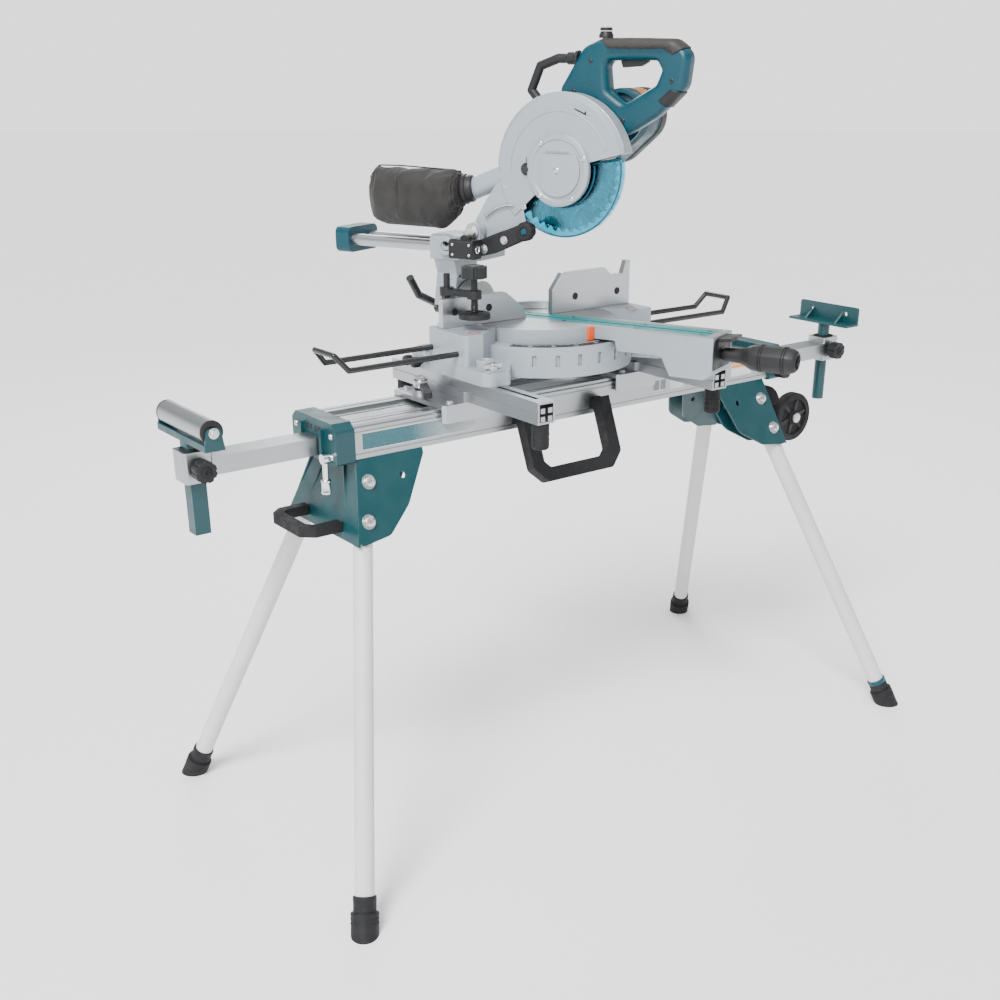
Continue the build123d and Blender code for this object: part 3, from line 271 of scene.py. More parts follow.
def woven(name, colour):
    """Dark woven cloth: crossing threads, lint and slightly faded folds."""
    finish = Finish(name, colour, 0.85, Sheen_Weight=0.12, Sheen_Roughness=0.45)
    threads = []
    for axis in ("X", "Z"):
        wave = finish.add("ShaderNodeTexWave", Vector=finish.plain, Scale=520.0, Distortion=0.6, Detail=1.0)
        wave.wave_type, wave.bands_direction = "BANDS", axis
        threads.append(wave.outputs["Fac"])
    weave = finish.math("MULTIPLY", finish.math("ADD", threads[0], threads[1]), 0.5)
    lint = finish.spread(finish.noise(45.0, 6.0, 0.7), 0.45, 0.75)
    base = finish.mix(weave, shade(colour, 0.7), shade(colour, 1.5))
    finish.paint(finish.mix(finish.math("MULTIPLY", lint, 0.35), base, shade(colour, 2.4)))
    finish.gloss(0.75, 0.95, 25.0)
    finish.bump(weave, 0.5, 0.0004)
    finish.bump(finish.noise(60.0, 4.0, 0.6), 0.35, 0.002)
    return finish.material


def fading_strip():
    """Printed strip on the beam: teal at the left end, running out to bare grey."""
    finish = Finish("name_strip", (0.01, 0.09, 0.11), 0.3, Coat_Weight=0.3, Coat_Roughness=0.15)
    along_x = finish.add("ShaderNodeSeparateXYZ", Vector=finish.plain).outputs["X"]
    fade = finish.spread(along_x, -0.40, -0.262)
    grain = finish.spread(finish.noise(220.0, 2.0), 0.35, 0.65, -0.04, 0.04)
    amount = finish.math("ADD", fade, grain, clamp=True)
    finish.paint(finish.mix(amount, (0.008, 0.085, 0.105), (0.42, 0.43, 0.44)))
    finish.gloss(0.24, 0.36, 60.0)
    return finish.material


def ground_blade():
    """Saw plate: fine grinding marks and a cloudy grey tone."""
    finish = Finish("ground_blade", (0.5, 0.5, 0.52), 0.25, metallic=1.0)
    lines = finish.noise(500.0, 3.0, 0.7)
    cloud = finish.noise(20.0, 3.0)
    finish.paint(finish.mix(finish.spread(cloud, 0.3, 0.7), (0.42, 0.42, 0.43), (0.62, 0.62, 0.64)))
    finish.gloss(0.2, 0.38, 90.0)
    finish.bump(lines, 0.2, 0.0001)
    return finish.material


MACHINED, BLADE = machined_table(), ground_blade()

BAG_CLOTH = woven("bag_cloth", (0.011, 0.010, 0.0095))
GUARD_EDGE = moulded("guard_edge", (0.004, 0.07, 0.115), 0.2, grain=0.02)
SCALE_BLACK = moulded("scale_black", (0.012, 0.012, 0.013), 0.42, grain=0.1)
MARK_WHITE = moulded("mark_white", (0.62, 0.62, 0.61), 0.45, grain=0.05)
# Darker grey paint: painted shade in the hub slit and on the floors of the pad pockets, and also the grey
# print on the beam labels.
SHADE_AND_PRINT_GREY = painted("painted_shade_and_print_grey", (0.2, 0.22, 0.24), 0.5)
LABEL_RED = moulded("label_red", (0.5, 0.02, 0.015), 0.4, grain=0.05)
LABEL_ORANGE = moulded("label_orange", (0.72, 0.27, 0.05), 0.4, grain=0.05)
# Darker copy of the kerf plastic: painted shade in the kerf board recesses.
KERF_SHADE = moulded("kerf_painted_shade", (0.008, 0.12, 0.125), 0.5, grain=0.2)
STRIP_TEAL = fading_strip()

NODE_FINISH = {
    PROFILE: ("beam", "extension_left", "extension_right", "slide_poles", "roller"),
    RAIL: ("bracket_rails", "bracket_saddles"),
    TEAL_PAINT: ("end_caps", "leg_housing_left", "leg_housing_right", "roller_post", "stop_post"),
    LEG_PAINT: ("leg_front_left", "leg_rear_left", "leg_front_right", "leg_rear_right"),
    RUBBER: ("foot_front_left", "foot_rear_left", "foot_front_right", "foot_rear_right", "wheels",
             "rail_posts", "handles"),
    BLACK_PLASTIC: ("extension_lock_knob", "collar_knob_left", "collar_knob_right", "vise_stand",
                    "vise_screw", "vise_pad", "mitre_grip", "detent_lever", "laser_unit", "trigger",
                    "carry_bar", "dust_bag", "clamp_lever_left", "clamp_lever_right"),
    CAST: ("base_casting", "bevel_housing", "hinge_block", "blade_case"),
    FENCE: ("fence",),
    BLACK_STEEL: ("side_rod_left", "side_rod_right", "bevel_lever"),
    ZINC: ("leg_pivots", "tool_bolts", "spindle"),
    CHROME: ("extension_lock_lever", "lock_button"),
    KERF: ("kerf_boards",),
    TEAL_PLASTIC: ("handle", "motor_housing", "pole_end_cap"),
    GRIP_RUBBER: ("handle_grip",),
    GUARD: ("lower_guard",),
    BLADE: ("blade",),
    SPRING: ("return_spring",),
    WINDING: ("armature",),
    MACHINED: ("turntable",),
}


def dress_nodes():
    """Gives the CAD nodes their materials."""
    for material, nodes in NODE_FINISH.items():
        for name in nodes:
            for slot in frame["nodes"][name].material_slots:
                slot.material = material


# ---------------------------------------------------------------- shapes
def rounded(points, radii, steps=6):
    """Closed outline with round corners, from its corner points and {corner number: radius}."""
    outline = []
    count = len(points)
    for index, corner in enumerate(points):
        corner = Vector(corner)
        radius = radii.get(index, 0)
        if not radius:
            outline.append(tuple(corner))
            continue
        back = (Vector(points[index - 1]) - corner).normalized()
        ahead = (Vector(points[(index + 1) % count]) - corner).normalized()
        half = back.angle(ahead) / 2
        reach = radius / tan(half)
        start, stop = corner + back * reach, corner + ahead * reach
        centre = corner + (back + ahead).normalized() * (radius / sin(half))
        for step in range(steps + 1):
            spoke = (start - centre).normalized().slerp((stop - centre).normalized(), step / steps)
            outline.append(tuple(centre + spoke * radius))
    return outline


def soft_box(x, y, radius):
    """Rectangle with round corners, from its (low, high) pairs."""
    corners = [(x[0], y[0]), (x[1], y[0]), (x[1], y[1]), (x[0], y[1])]
    return rounded(corners, dict.fromkeys(range(4), radius))


def circle(centre, radius, steps=40, start=0.0, step=9.0):
    """Points around a circle, from an angle on."""
    turns = [radians(start + step * i) for i in range(steps)]
    return [(centre[0] + radius * cos(a), centre[1] + radius * sin(a)) for a in turns]


def line_corners(out, side, low, high, half):
    """Corners of a scale line between two distances along one way."""
    return [tuple(out * r + side * s) for r, s in ((low, -half), (high, -half), (high, half), (low, half))]


class Shape:
    """A mesh drawn in millimetres, then put in place, shaded and given to a body."""

    ORDER = {"X": (2, 0, 1), "Y": (0, 2, 1), "Z": (0, 1, 2)}

    def __init__(self):
        self.bm = bmesh.new()

    def prism(self, outline, low, high, axis="Z"):
        """Outline swept between two heights along an axis."""
        order = self.ORDER[axis]
        rings = []
        for height in (low, high):
            corners = [(*point, height) for point in outline]
            rings.append([self.bm.verts.new([c[order[k]] for k in range(3)]) for c in corners])
        self.bm.faces.new(rings[0])
        self.bm.faces.new(rings[1])
        for i in range(len(outline)):
            j = (i + 1) % len(outline)
            self.bm.faces.new((rings[0][i], rings[0][j], rings[1][j], rings[1][i]))
        return self

    def box(self, x, y, z):
        """Block from three (low, high) pairs."""
        return self.prism([(x[0], y[0]), (x[1], y[0]), (x[1], y[1]), (x[0], y[1])], z[0], z[1])

    def skin(self, rings, closed=False):
        """Faces between rings of points, with flat ends unless the tube is closed."""
        made = [[self.bm.verts.new(point) for point in ring] for ring in rings]
        pairs = list(zip(made, made[1:])) + ([(made[-1], made[0])] if closed else [])
        for near, far in pairs:
            for i in range(len(near)):
                j = (i + 1) % len(near)
                self.bm.faces.new((near[i], near[j], far[j], far[i]))
        if not closed:
            self.bm.faces.new(made[0])
            self.bm.faces.new(made[-1])
        return self

    def lathe(self, profile, centre, way=(0, 0, 1), steps=40, lobes=0, depth=0.0):
        """Turned shape from (radius, height) pairs about an axis; lobes cut flutes of a depth in it."""
        turn = Vector(way).to_track_quat("Z", "Y")
        rings = []
        for radius, height in profile:
            ring = []
            for i in range(steps):
                angle = 2 * pi * i / steps
                r = max(radius, 0.05)
                if lobes:
                    r -= min(depth, r * 0.5) * max(0.0, cos(lobes * angle)) ** 2
                ring.append(Vector(centre) + turn @ Vector((r * cos(angle), r * sin(angle), height)))
            rings.append(ring)
        return self.skin(rings)

    def tube(self, points, radius, steps=14, closed=False, flat=1.0):
        """Round or flattened bar along a line of points."""
        points = [Vector(point) for point in points]
        count = len(points)
        rings, side = [], None
        for i, point in enumerate(points):
            before = points[i - 1] if i or closed else point
            after = points[(i + 1) % count] if i < count - 1 or closed else point
            ahead = (after - before).normalized()
            if side is None:
                side = ahead.orthogonal().normalized()
            side = (side - ahead * side.dot(ahead)).normalized()
            up = ahead.cross(side)
            turns = [2 * pi * k / steps for k in range(steps)]
            rings.append([point + (side * cos(a) + up * sin(a) * flat) * radius for a in turns])
        return self.skin(rings, closed)

    def arc_band(self, radii, span, low, high, step=3.0):
        """Flat ring sector about the local Z axis; angle 0 points along -Y and grows to the right."""
        count = max(2, round((span[1] - span[0]) / step))
        angles = [radians(span[0] + (span[1] - span[0]) * i / count) for i in range(count + 1)]
        outline = [(radii[1] * sin(a), -radii[1] * cos(a)) for a in angles]
        outline += [(radii[0] * sin(a), -radii[0] * cos(a)) for a in reversed(angles)]
        return self.prism(outline, low, high)

    def words(self, text, size, place):
        """Raised figures, centred on a place given as a matrix."""
        curve = bpy.data.curves.new("figure", "FONT")
        curve.body, curve.size, curve.extrude = text, size, 0.15
        curve.align_x, curve.align_y = "CENTER", "CENTER"
        helper = bpy.data.objects.new("figure", curve)
        mesh = bpy.data.meshes.new_from_object(helper)
        mesh.transform(place)
        self.bm.from_mesh(mesh)
        bpy.data.objects.remove(helper)
        bpy.data.meshes.remove(mesh)
        return self

    def screw(self, centre, way, radius, height=2.2):
        """Domed socket screw."""
        r, h = radius, height
        return self.lathe([(r, 0), (r, h * 0.45), (r * 0.82, h * 0.85), (r * 0.52, h), (r * 0.45, h * 0.95),
                           (r * 0.42, h * 0.35), (0, h * 0.3)], centre, way, steps=24)

    def screws(self, centres, way, radius, height=2.2):
        """The same screw at several places."""
        for centre in centres:
            self.screw(centre, way, radius, height)
        return self

    def hex_bolt(self, centre, way, radius, height):
        """Hexagon head on a washer."""
        turn = Vector(way).to_track_quat("Z", "Y")
        rings = []
        for r, h in ((radius, 1.6), (radius, height * 0.85), (radius * 0.85, height)):
            corners = [(r * cos(pi * k / 3), r * sin(pi * k / 3), h) for k in range(6)]
            rings.append([Vector(centre) + turn @ Vector(corner) for corner in corners])
        self.skin(rings)
        return self.lathe([(radius * 1.35, 0), (radius * 1.35, 1.4), (radius * 1.2, 1.7)], centre, way,
                          steps=32)

    def put(self, name, place, body, material, bevel=0.0, slot=None, replaces=(), segments=2,
            subdivide=False):
        """Finish the piece: metres, normals, shading, edges, material and the body that it rides."""
        bmesh.ops.transform(self.bm, matrix=place, verts=self.bm.verts)
        bmesh.ops.recalc_face_normals(self.bm, faces=self.bm.faces)
        mesh = bpy.data.meshes.new(name)
        self.bm.to_mesh(mesh)
        self.bm.free()
        for polygon in mesh.polygons:
            polygon.use_smooth = True
        mesh.set_sharp_from_angle(angle=SHARP)
        mesh.materials.append(material)
        piece = show(name, mesh)
        if bevel:
            edges = piece.modifiers.new("edges", "BEVEL")
            edges.width, edges.segments = bevel * MM, segments
            edges.limit_method, edges.angle_limit = "ANGLE", SHARP
        if subdivide:
            subdivided(piece)
        if replaces:
            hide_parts(*replaces)
        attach(piece, body)
        return piece


def subdivided(piece):
    smooth = piece.modifiers.new("smooth", "SUBSURF")
    smooth.levels = smooth.render_levels = 1


def ray_hit(outline, centre, angle):
    """Distance from a centre to the outline around it, along an angle."""
    way = Vector((cos(angle), sin(angle)))
    best = 0.0
    for start, stop in zip(outline, outline[1:] + outline[:1]):
        start, edge = Vector(start) - Vector(centre), Vector(stop) - Vector(start)
        cross = way.x * edge.y - way.y * edge.x
        if abs(cross) < 1e-9:
            continue
        part = (way.y * start.x - way.x * start.y) / cross
        if -1e-6 <= part <= 1 + 1e-6:
            best = max(best, (start + edge * part).dot(way))
    return best


def loop_rings(outer, inner, centre, x, radius, span=(0, 360), count=150, inside=0.0, grow=0.0):
    """Rounded cross-sections between two outlines in Y and Z, seen from a centre inside both."""
    rings = []
    whole = span[1] - span[0] >= 360
    middle, half_x = (x[0] + x[1]) / 2, (x[1] - x[0]) / 2
    for i in range(count if whole else count + 1):
        angle = radians(span[0] + (span[1] - span[0]) * i / count)
        far, near = ray_hit(outer, centre, angle) + grow, ray_hit(inner, centre, angle)
        near += (far - near) * inside
        mid, half = (far + near) / 2, (far - near) / 2
        corner = min(radius, half * 0.92, half_x * 0.92)
        ring = []
        for k, (su, sx) in enumerate(((1, 1), (-1, 1), (-1, -1), (1, -1))):
            for step in range(7):
                turn = pi / 2 * (k + step / 6)
                u = mid + su * (half - corner) + corner * cos(turn)
                ring.append((middle + sx * (half_x - corner) + corner * sin(turn),
                             centre[0] + u * cos(angle), centre[1] + u * sin(angle)))
        rings.append(ring)
    return rings


# ---------------------------------------------------------------- saw: dust bag
BAG_X = -20.0                     # middle of the bag
BAG_Y = (158.0, 362.0)
BAG_TOP = ((158, 244), (170, 254), (300, 258), (345, 257), (362, 243))
BAG_LOW = ((158, 196), (172, 172), (200, 151), (330, 152), (352, 158), (362, 180))
BAG_HALF = ((158, 24), (200, 33), (280, 36), (335, 24), (362, 7))


def along(table, y):
    """Value at y, read between the corners of a line."""
    for (y0, v0), (y1, v1) in zip(table, table[1:]):
        if y <= y1:
            part = max(0.0, (y - y0) / (y1 - y0))
            return v0 + (v1 - v0) * part
    return table[-1][1]


def bag_ring(y, count=84):
    """Cross-section of the bag: full at the collar, flat at the seam behind, pinched at both seams."""
    low, high, half = along(BAG_LOW, y), along(BAG_TOP, y), along(BAG_HALF, y)
    middle, tall = (low + high) / 2, (high - low) / 2
    gather = max(0.0, 1 - (y - BAG_Y[0]) / 60)
    ring = []
    for i in range(count):
        angle = 2 * pi * i / count
        c, s = cos(angle), sin(angle)
        pleat = 1 + 0.05 * gather * sin(11 * angle + 0.6)
        width = half * copysign(abs(c) ** 0.9, c) * pleat
        height = tall * copysign(abs(s) ** 0.85, s) * pleat
        ring.append((BAG_X + width, y, middle + height))
    return ring


def cloth_bag():
    """Woven bag: lofted, then swollen and creased by a cloth simulation held at both ends."""
    rows = 60
    stations = [BAG_Y[0] + (BAG_Y[1] - BAG_Y[0]) * i / rows for i in range(rows + 1)]
    bag = Shape().skin([bag_ring(y) for y in stations]).put("dust_bag_cloth", ARM, "head", BAG_CLOTH,
                                                            replaces=("dust_bag",))
    swell(bag)
    subdivided(bag)


def swell(bag):
    """Runs the cloth simulation, limits how far a point moves and keeps the result."""
    home = [vertex.co.copy() for vertex in bag.data.vertices]
    inverse = ARM.inverted()
    held = bag.vertex_groups.new(name="held")
    for vertex in bag.data.vertices:
        y = (inverse @ vertex.co).y
        if y < BAG_Y[0] + 5 or y > BAG_Y[1] - 3:
            held.add([vertex.index], 1.0, "ADD")
    cloth = bag.modifiers.new("cloth", "CLOTH")
    rules = {"quality": 7, "mass": 0.3, "tension_stiffness": 25, "compression_stiffness": 25,
             "bending_stiffness": 0.6, "vertex_group_mass": "held", "shrink_min": -0.05,
             "use_pressure": True, "uniform_pressure_force": 4.0}
    for rule, value in rules.items():
        setattr(cloth.settings, rule, value)
    cloth.settings.effector_weights.gravity = 0.0
    scene = bpy.context.scene
    for frame_number in range(1, 21):
        scene.frame_set(frame_number)
    depsgraph = bpy.context.evaluated_depsgraph_get()
    done = bpy.data.meshes.new_from_object(bag.evaluated_get(depsgraph), depsgraph=depsgraph)
    limit = 9 * MM
    for vertex, start in zip(bag.data.vertices, home):
        move = done.vertices[vertex.index].co - start
        if move.length > limit:
            move *= limit / move.length
        vertex.co = start + move
    bag.modifiers.remove(cloth)
    bpy.data.meshes.remove(done)
    scene.frame_set(1)


def bag_fittings():
    """Spout, piping, hem and closure of the dust bag."""
    spout = Shape()
    mouth = (-8, 138, 223.5)
    spout.lathe([(19, 0), (23, 1), (24.5, 4), (24.5, 12), (27, 14), (27, 19), (25, 22), (21, 25), (0, 25)],
                mouth, (-0.25, 0.95, -0.12), steps=48)
    spout.put("dust_spout", ARM, "head", BLACK_PLASTIC)
    seam = Shape()
    lines = [(y, along(BAG_TOP, y) + 0.8) for y in range(166, 350, 6)]
    seam.tube([(BAG_X, y, z) for y, z in lines], 1.3, steps=8)
    lines = [(y, along(BAG_LOW, y) - 0.5) for y in range(186, 350, 6)]
    seam.tube([(BAG_X, y, z) for y, z in lines], 1.3, steps=8)
    seam.put("bag_piping", ARM, "head", BAG_CLOTH)
    hem = Shape()
    for y, grow in ((161, 1.035), (167, 1.03)):
        ring = bag_ring(y)
        centre = sum((Vector(p) for p in ring), Vector()) / len(ring)
        hem.tube([centre + (Vector(p) - centre) * grow for p in ring], 1.5, steps=8, closed=True)
    hem.put("bag_hem", ARM, "head", BAG_CLOTH)
    zip_band = Shape()
    top, low = along(BAG_TOP, 360) - 6, along(BAG_LOW, 360) + 6
    zip_band.box((BAG_X - 5, BAG_X + 5), (361, 363.5), (low, top))
    zip_band.put("bag_closure", ARM, "head", BLACK_PLASTIC, bevel=0.8)


# ---------------------------------------------------------------- saw: head
AXIS = (-48.0, 262.0)             # blade axis, Y and Z
MOTOR = (-85.0, 318.0)
CASE_FACE, HUB_FACE = -24.0, -28.0


def around(radius, angle, x):
    """Point round the blade axis; angle 0 is forwards, 90 is up."""
    a = radians(angle)
    return (x, AXIS[0] - radius * cos(a), AXIS[1] + radius * sin(a))


def in_plane(*spots):
    """Y and Z of points round the blade axis, from (radius, angle) pairs."""
    return [around(radius, angle, 0)[1:] for radius, angle in spots]


def case_details():
    """Hub ring and cover, rim lip, ribs, screws, centre bolt and turn arrow of the blade case."""
    plate = Shape().lathe([(61.5, 0), (61.5, 1.2), (59.5, 2.2), (52, 2.2), (50, 0.6), (0, 0.6)],
                          around(0, 0, HUB_FACE), LEFT, steps=96)
    plate.put("hub_ring", ARM, "head", CAST)
    cover = Shape()
    rim = in_plane(*((45, 5 * i) for i in range(72)))
    cut = [(min(y, AXIS[0] + 33), min(z, AXIS[1] + 27)) for y, z in rim]
    cover.prism(cut, HUB_FACE - 4.2, HUB_FACE - 0.2, "X")
    cover.put("hub_cover", ARM, "head", CAST, bevel=2.2, segments=4)
    # Dark sheet in the slit above the hub cover: painted shade.
    slit = Shape().box((HUB_FACE - 1.6, HUB_FACE - 0.4), (AXIS[0] - 22, AXIS[0] + 24),
                       (AXIS[1] + 28.5, AXIS[1] + 32))
    slit.put("hub_slit_shade", ARM, "head", SHADE_AND_PRINT_GREY, bevel=0.4)
    lip = Shape().tube([around(127.4, 18 + 4 * i, CASE_FACE + 8.5) for i in range(51)], 2.0, steps=10)
    lip.tube([around(98, 20 + 4 * i, CASE_FACE + 0.3) for i in range(42)], 1.4, steps=8)
    lip.put("case_lip", ARM, "head", CAST)
    screws = Shape()
    for radius, angle in ((55.7, 128), (55.7, 22), (55.7, -58), (55.7, -128)):
        screws.screw(around(radius, angle, HUB_FACE - 2.1), LEFT, 4.6)
    screws.screw(around(0, 0, HUB_FACE - 4.2), LEFT, 5.2)
    screws.screw((-22, 24, 196), LEFT, 5.4)
    screws.screw((-22, 62, 232), LEFT, 5.0)
    screws.put("case_screws", ARM, "head", ZINC)
    bolt = Shape().hex_bolt((CASE_FACE, 18, 262), LEFT, 8.0, 8.0)
    bolt.box((CASE_FACE - 0.5, CASE_FACE + 0.2), (17.2, 18.8), (273, 282))
    bolt.put("cover_bolt", ARM, "head", BLACK_STEEL, bevel=0.3)
    grooves = Shape()
    for k in range(3):
        grooves.tube([around(126.5 - 3.2 * k, 20 + 3 * i, 4 - 7 * k) for i in range(18)], 0.7, steps=6)
    grooves.put("case_ribs", ARM, "head", CAST)
    arrow = Shape().prism(in_plane((112, 62), (105, 60), (105, 74), (107, 74), (107, 63)), CASE_FACE - 0.3,
                          CASE_FACE + 0.1, "X")
    arrow.put("turn_arrow", ARM, "head", BLACK_PLASTIC)


def guard_details():
    """Beads along the edges of the clear guard, and its stop lip."""
    bead = Shape().tube([around(63.4, -148 + 4 * i, -8.9) for i in range(40)], 2.0, steps=10)
    bead.tube([around(114.6, -148 + 4 * i, -8.4) for i in range(40)], 1.6, steps=10)
    bead.put("guard_bead", ARM, "guard", GUARD_EDGE)
    lip = Shape().tube([around(60 + 56 * i / 8, 11.0, -8.6) for i in range(9)], 2.2, steps=10)
    lip.put("guard_lip", ARM, "guard", GUARD_EDGE)


def blade_tips():
    """Brazed carbide tips, and painted shade along the laser-cut slots of the blade."""
    tips = Shape()
    for i in range(40):
        turn = -9.0 * i
        tips.prism(in_plane((107.6, turn + 0.15), (107.2, turn - 1.6), (100.5, turn - 1.2),
                            (101.5, turn + 0.15)), -1.45, 1.45, "X")
    tips.put("carbide_tips", ARM, "arbor", CHROME, slot="blade_steel")
    # Black lines on both faces along the laser-cut slots: painted shade in the slots.
    slots = Shape()
    for i in range(4):
        for side in (-1.16, 1.16):
            line = [around(84 + 3 * k, 45 + 90 * i + 0.6 * k, side) for k in range(7)]
            slots.tube(line, 0.5, steps=6)
    slots.put("blade_slot_shade", ARM, "arbor", BLACK_STEEL)


HANDLE_OUT = ((-20, 392), (-66, 462), (-96, 474), (-236, 472), (-268, 452), (-262, 398), (-212, 352),
              (-152, 318), (-96, 330), (-30, 370))
HANDLE_IN = ((-112, 440), (-206, 440), (-216, 424), (-206, 402), (-150, 372), (-118, 392))


def handle():
    """D-handle with big round edges, its rubber grip, screws, bumper and lock button collar."""
    outer = rounded(HANDLE_OUT, {0: 14, 1: 30, 2: 18, 3: 20, 4: 20, 5: 24, 6: 30, 7: 24, 8: 16, 9: 14})
    inner = rounded(HANDLE_IN, {0: 11, 1: 9, 2: 8, 3: 12, 4: 14, 5: 10})
    centre = (-165.0, 410.0)
    shell = Shape().skin(loop_rings(outer, inner, centre, (20.0, 58.0), 13.0), closed=True)
    shell.put("handle_shell", ARM, "head", TEAL_PLASTIC, replaces=("handle",))
    grip = Shape().skin(loop_rings(outer, inner, centre, (17.2, 60.8), 15.0, (46, 152), 70, 0.42, 2.6))
    grip.put("grip_cover", ARM, "head", GRIP_RUBBER, bevel=1.5, replaces=("handle_grip",),
             segments=3)
    bumper = Shape().skin(loop_rings(outer, inner, centre, (18.6, 59.4), 13.0, (192, 214), 16, 0.45, 2.2))
    bumper.put("handle_bumper", ARM, "head", BLACK_PLASTIC, bevel=1.5, segments=3)
    socket = Shape().lathe([(8.4, 0), (10.5, 3), (10.5, 16), (13, 19), (13, 24)], (34, -32, 444), FRONT,
                           steps=32)
    socket.put("carry_bar_socket", ARM, "head", BLACK_PLASTIC)
    spots = ((-84, 440), (-52, 392), (-238, 408), (-150, 344))
    screws = Shape().screws([(19.8, y, z) for y, z in spots], LEFT, 3.6, 1.6)
    screws.put("handle_screws", ARM, "head", BLACK_STEEL)
    cap = Shape().lathe([(12.5, 0), (12.5, 5), (10.5, 8), (10.5, 10)], (39, -104, 476), steps=32)
    cap.put("button_collar", ARM, "head", BLACK_PLASTIC)
    button = Shape().lathe([(6, 0), (10.4, 1.5), (10.8, 5), (9.2, 7.6), (4, 8.4), (0, 8.5)],
                           (39, -104, 486), steps=32)
    button.put("button_cap", ARM, "switch_lock", BLACK_PLASTIC)
    dimples = Shape()
    for i in range(26):
        for k in range(3):
            spot = (17.0, -118 - 4.6 * i, 453 + 3.8 * k + 1.0 * sin(i * 1.7 + k))
            dimples.lathe([(0.9, 0), (0.7, 0.35), (0, 0.4)], spot, LEFT, steps=6)
    dimples.put("grip_dimples", ARM, "head", BLACK_PLASTIC)


MOTOR_UPPER = (-128.0, 350.0)


def motor_outline(grow, steps=24):
    """Outline of the motor shell in Y and Z, grown outwards."""
    way = atan2(MOTOR_UPPER[1] - MOTOR[1], MOTOR_UPPER[0] - MOTOR[0])
    apart = hypot(MOTOR_UPPER[0] - MOTOR[0], MOTOR_UPPER[1] - MOTOR[1])
    tilt = acos(4.0 / apart)
    outline = []
    for centre, radius, start, stop in ((MOTOR_UPPER, 46.0 + grow, way - tilt, way + tilt),
                                        (MOTOR, 50.0 + grow, way + tilt, way + 2 * pi - tilt)):
        for i in range(steps + 1):
            angle = start + (stop - start) * i / steps
            outline.append((centre[0] + radius * cos(angle), centre[1] + radius * sin(angle)))
    return outline


def motor_details():
    """Black end cap with vent ribs, moulded seams and a plain orange plate on the motor."""
    cap = Shape()
    rings = ((128, 0.4), (129, 1.2), (150, 1.2), (156, -1.5), (160, -6.5), (161.4, -11))
    cap.skin([[(x, y, z) for y, z in motor_outline(grow)] for x, grow in rings])
    cap.put("motor_end_cap", ARM, "head", BLACK_PLASTIC)
    vents = Shape()
    for k in range(-3, 4):
        y, z = (MOTOR[0] + MOTOR_UPPER[0]) / 2, (MOTOR[1] + MOTOR_UPPER[1]) / 2 + 9 * k
        vents.box((161, 162.6), (y - 24, y + 24), (z - 1.6, z + 1.6))
    vents.put("motor_vents", ARM, "head", RUBBER, bevel=0.6)
    ribs = Shape()
    for x in (58, 66, 74, 122):
        ribs.skin([[(x + dx, y, z) for y, z in motor_outline(grow)]
                   for dx, grow in ((0, -0.4), (0.8, 0.8), (2.2, 0.8), (3.0, -0.4))])
    ribs.put("motor_ribs", ARM, "head", TEAL_PLASTIC)
    plate = Shape()
    outline = circle(MOTOR_UPPER, 46.5, 17, 50, 6) + circle(MOTOR_UPPER, 45.6, 17, 146, -6)
    plate.prism(outline, 78, 119, "X")
    plate.put("motor_plate", ARM, "head", LABEL_ORANGE, slot="teal_plastic")


def front_link():
    """Black link from the hinge block to the stop knob, the knob, and its blue centre."""
    link = Shape()
    outline = rounded([(118, 103), (140, 120), (96, 140), (6, 173), (-8, 169), (-11, 152), (4, 143),
                       (72, 114)], {0: 6, 1: 6, 2: 8, 3: 8, 4: 8, 5: 8, 6: 10, 7: 10})
    link.prism(outline, -46, -35, "X")
    link.put("stop_link", ARM, "slide_carriage", BLACK_PLASTIC, bevel=2.5, segments=3)
    knob = Shape().lathe([(14, 0), (17, 2), (17, 13), (14.5, 16), (8, 16.5), (7, 14.5), (0, 14.5)],
                         (-46, 2, 158), LEFT, steps=60, lobes=10, depth=1.0)
    knob.put("stop_knob", ARM, "slide_carriage", RUBBER)
    eye = Shape().lathe([(6.4, 0), (6.0, 1.4), (3.5, 2.2), (0, 2.4)], (-60.4, 2, 158), LEFT, steps=24)
    eye.put("stop_knob_eye", ARM, "slide_carriage", TEAL_PLASTIC)
    bolts = Shape().hex_bolt((-46, 96, 120), LEFT, 6.5, 6)
    bolts.hex_bolt((-46, 52, 139), LEFT, 5.5, 5)
    bolts.put("link_bolts", ARM, "slide_carriage", ZINC)


def hinge_details():
    """Pin nuts, the slide lock boss, and the chrome guard link beside the hinge."""
    nuts = Shape()
    for side in (-1, 1):
        nuts.hex_bolt((side * 48, 120, 150), (side, 0, 0), 10, 7)
    nuts.put("hinge_nuts", ARM, "slide_carriage", ZINC)
    boss = Shape().lathe([(17, 0), (17, 12), (15.5, 14), (10, 14), (9, 12), (9, 3), (0, 3)],
                         (-46, 172, 122), LEFT, steps=48)
    boss.put("slide_lock_boss", ARM, "bevel_unit", CAST)
    hole = Shape().lathe([(8.6, 0), (8.6, 1), (4, 1.4), (3.6, -0.4), (0, -0.4)], (-50, 172, 122), LEFT,
                         steps=32)
    hole.put("slide_lock_socket", ARM, "bevel_unit", BLACK_PLASTIC)
    rodding = Shape().tube([(-27, 104 - 3.2 * i, 176 + 1.2 * i + 7 * sin(i / 19 * pi)) for i in range(20)],
                           2.2, steps=10)
    rodding.put("guard_link", ARM, "head", CHROME)


def laser_details():
    """Switch rocker, lens window and screws on the laser box."""
    rocker = Shape().prism([(114, 142.4), (128, 142.4), (128, 146), (121, 144.5), (114, 143.6)], -71, -61,
                           "X")
    rocker.put("laser_switch", ARM, "slide_carriage", RUBBER, bevel=0.6)
    lens = Shape().lathe([(7, 0), (7, 1.5), (5.5, 1.8), (5, 0.6), (0, 0.4)], (-65.5, 98.2, 121), FRONT,
                         steps=28)
    lens.put("laser_lens", ARM, "slide_carriage", CHROME)
    screws = Shape().screws([(-81.8, y, z) for z in (112, 130) for y in (106, 142)], LEFT, 2.6, 1.2)
    screws.put("laser_screws", ARM, "slide_carriage", ZINC)


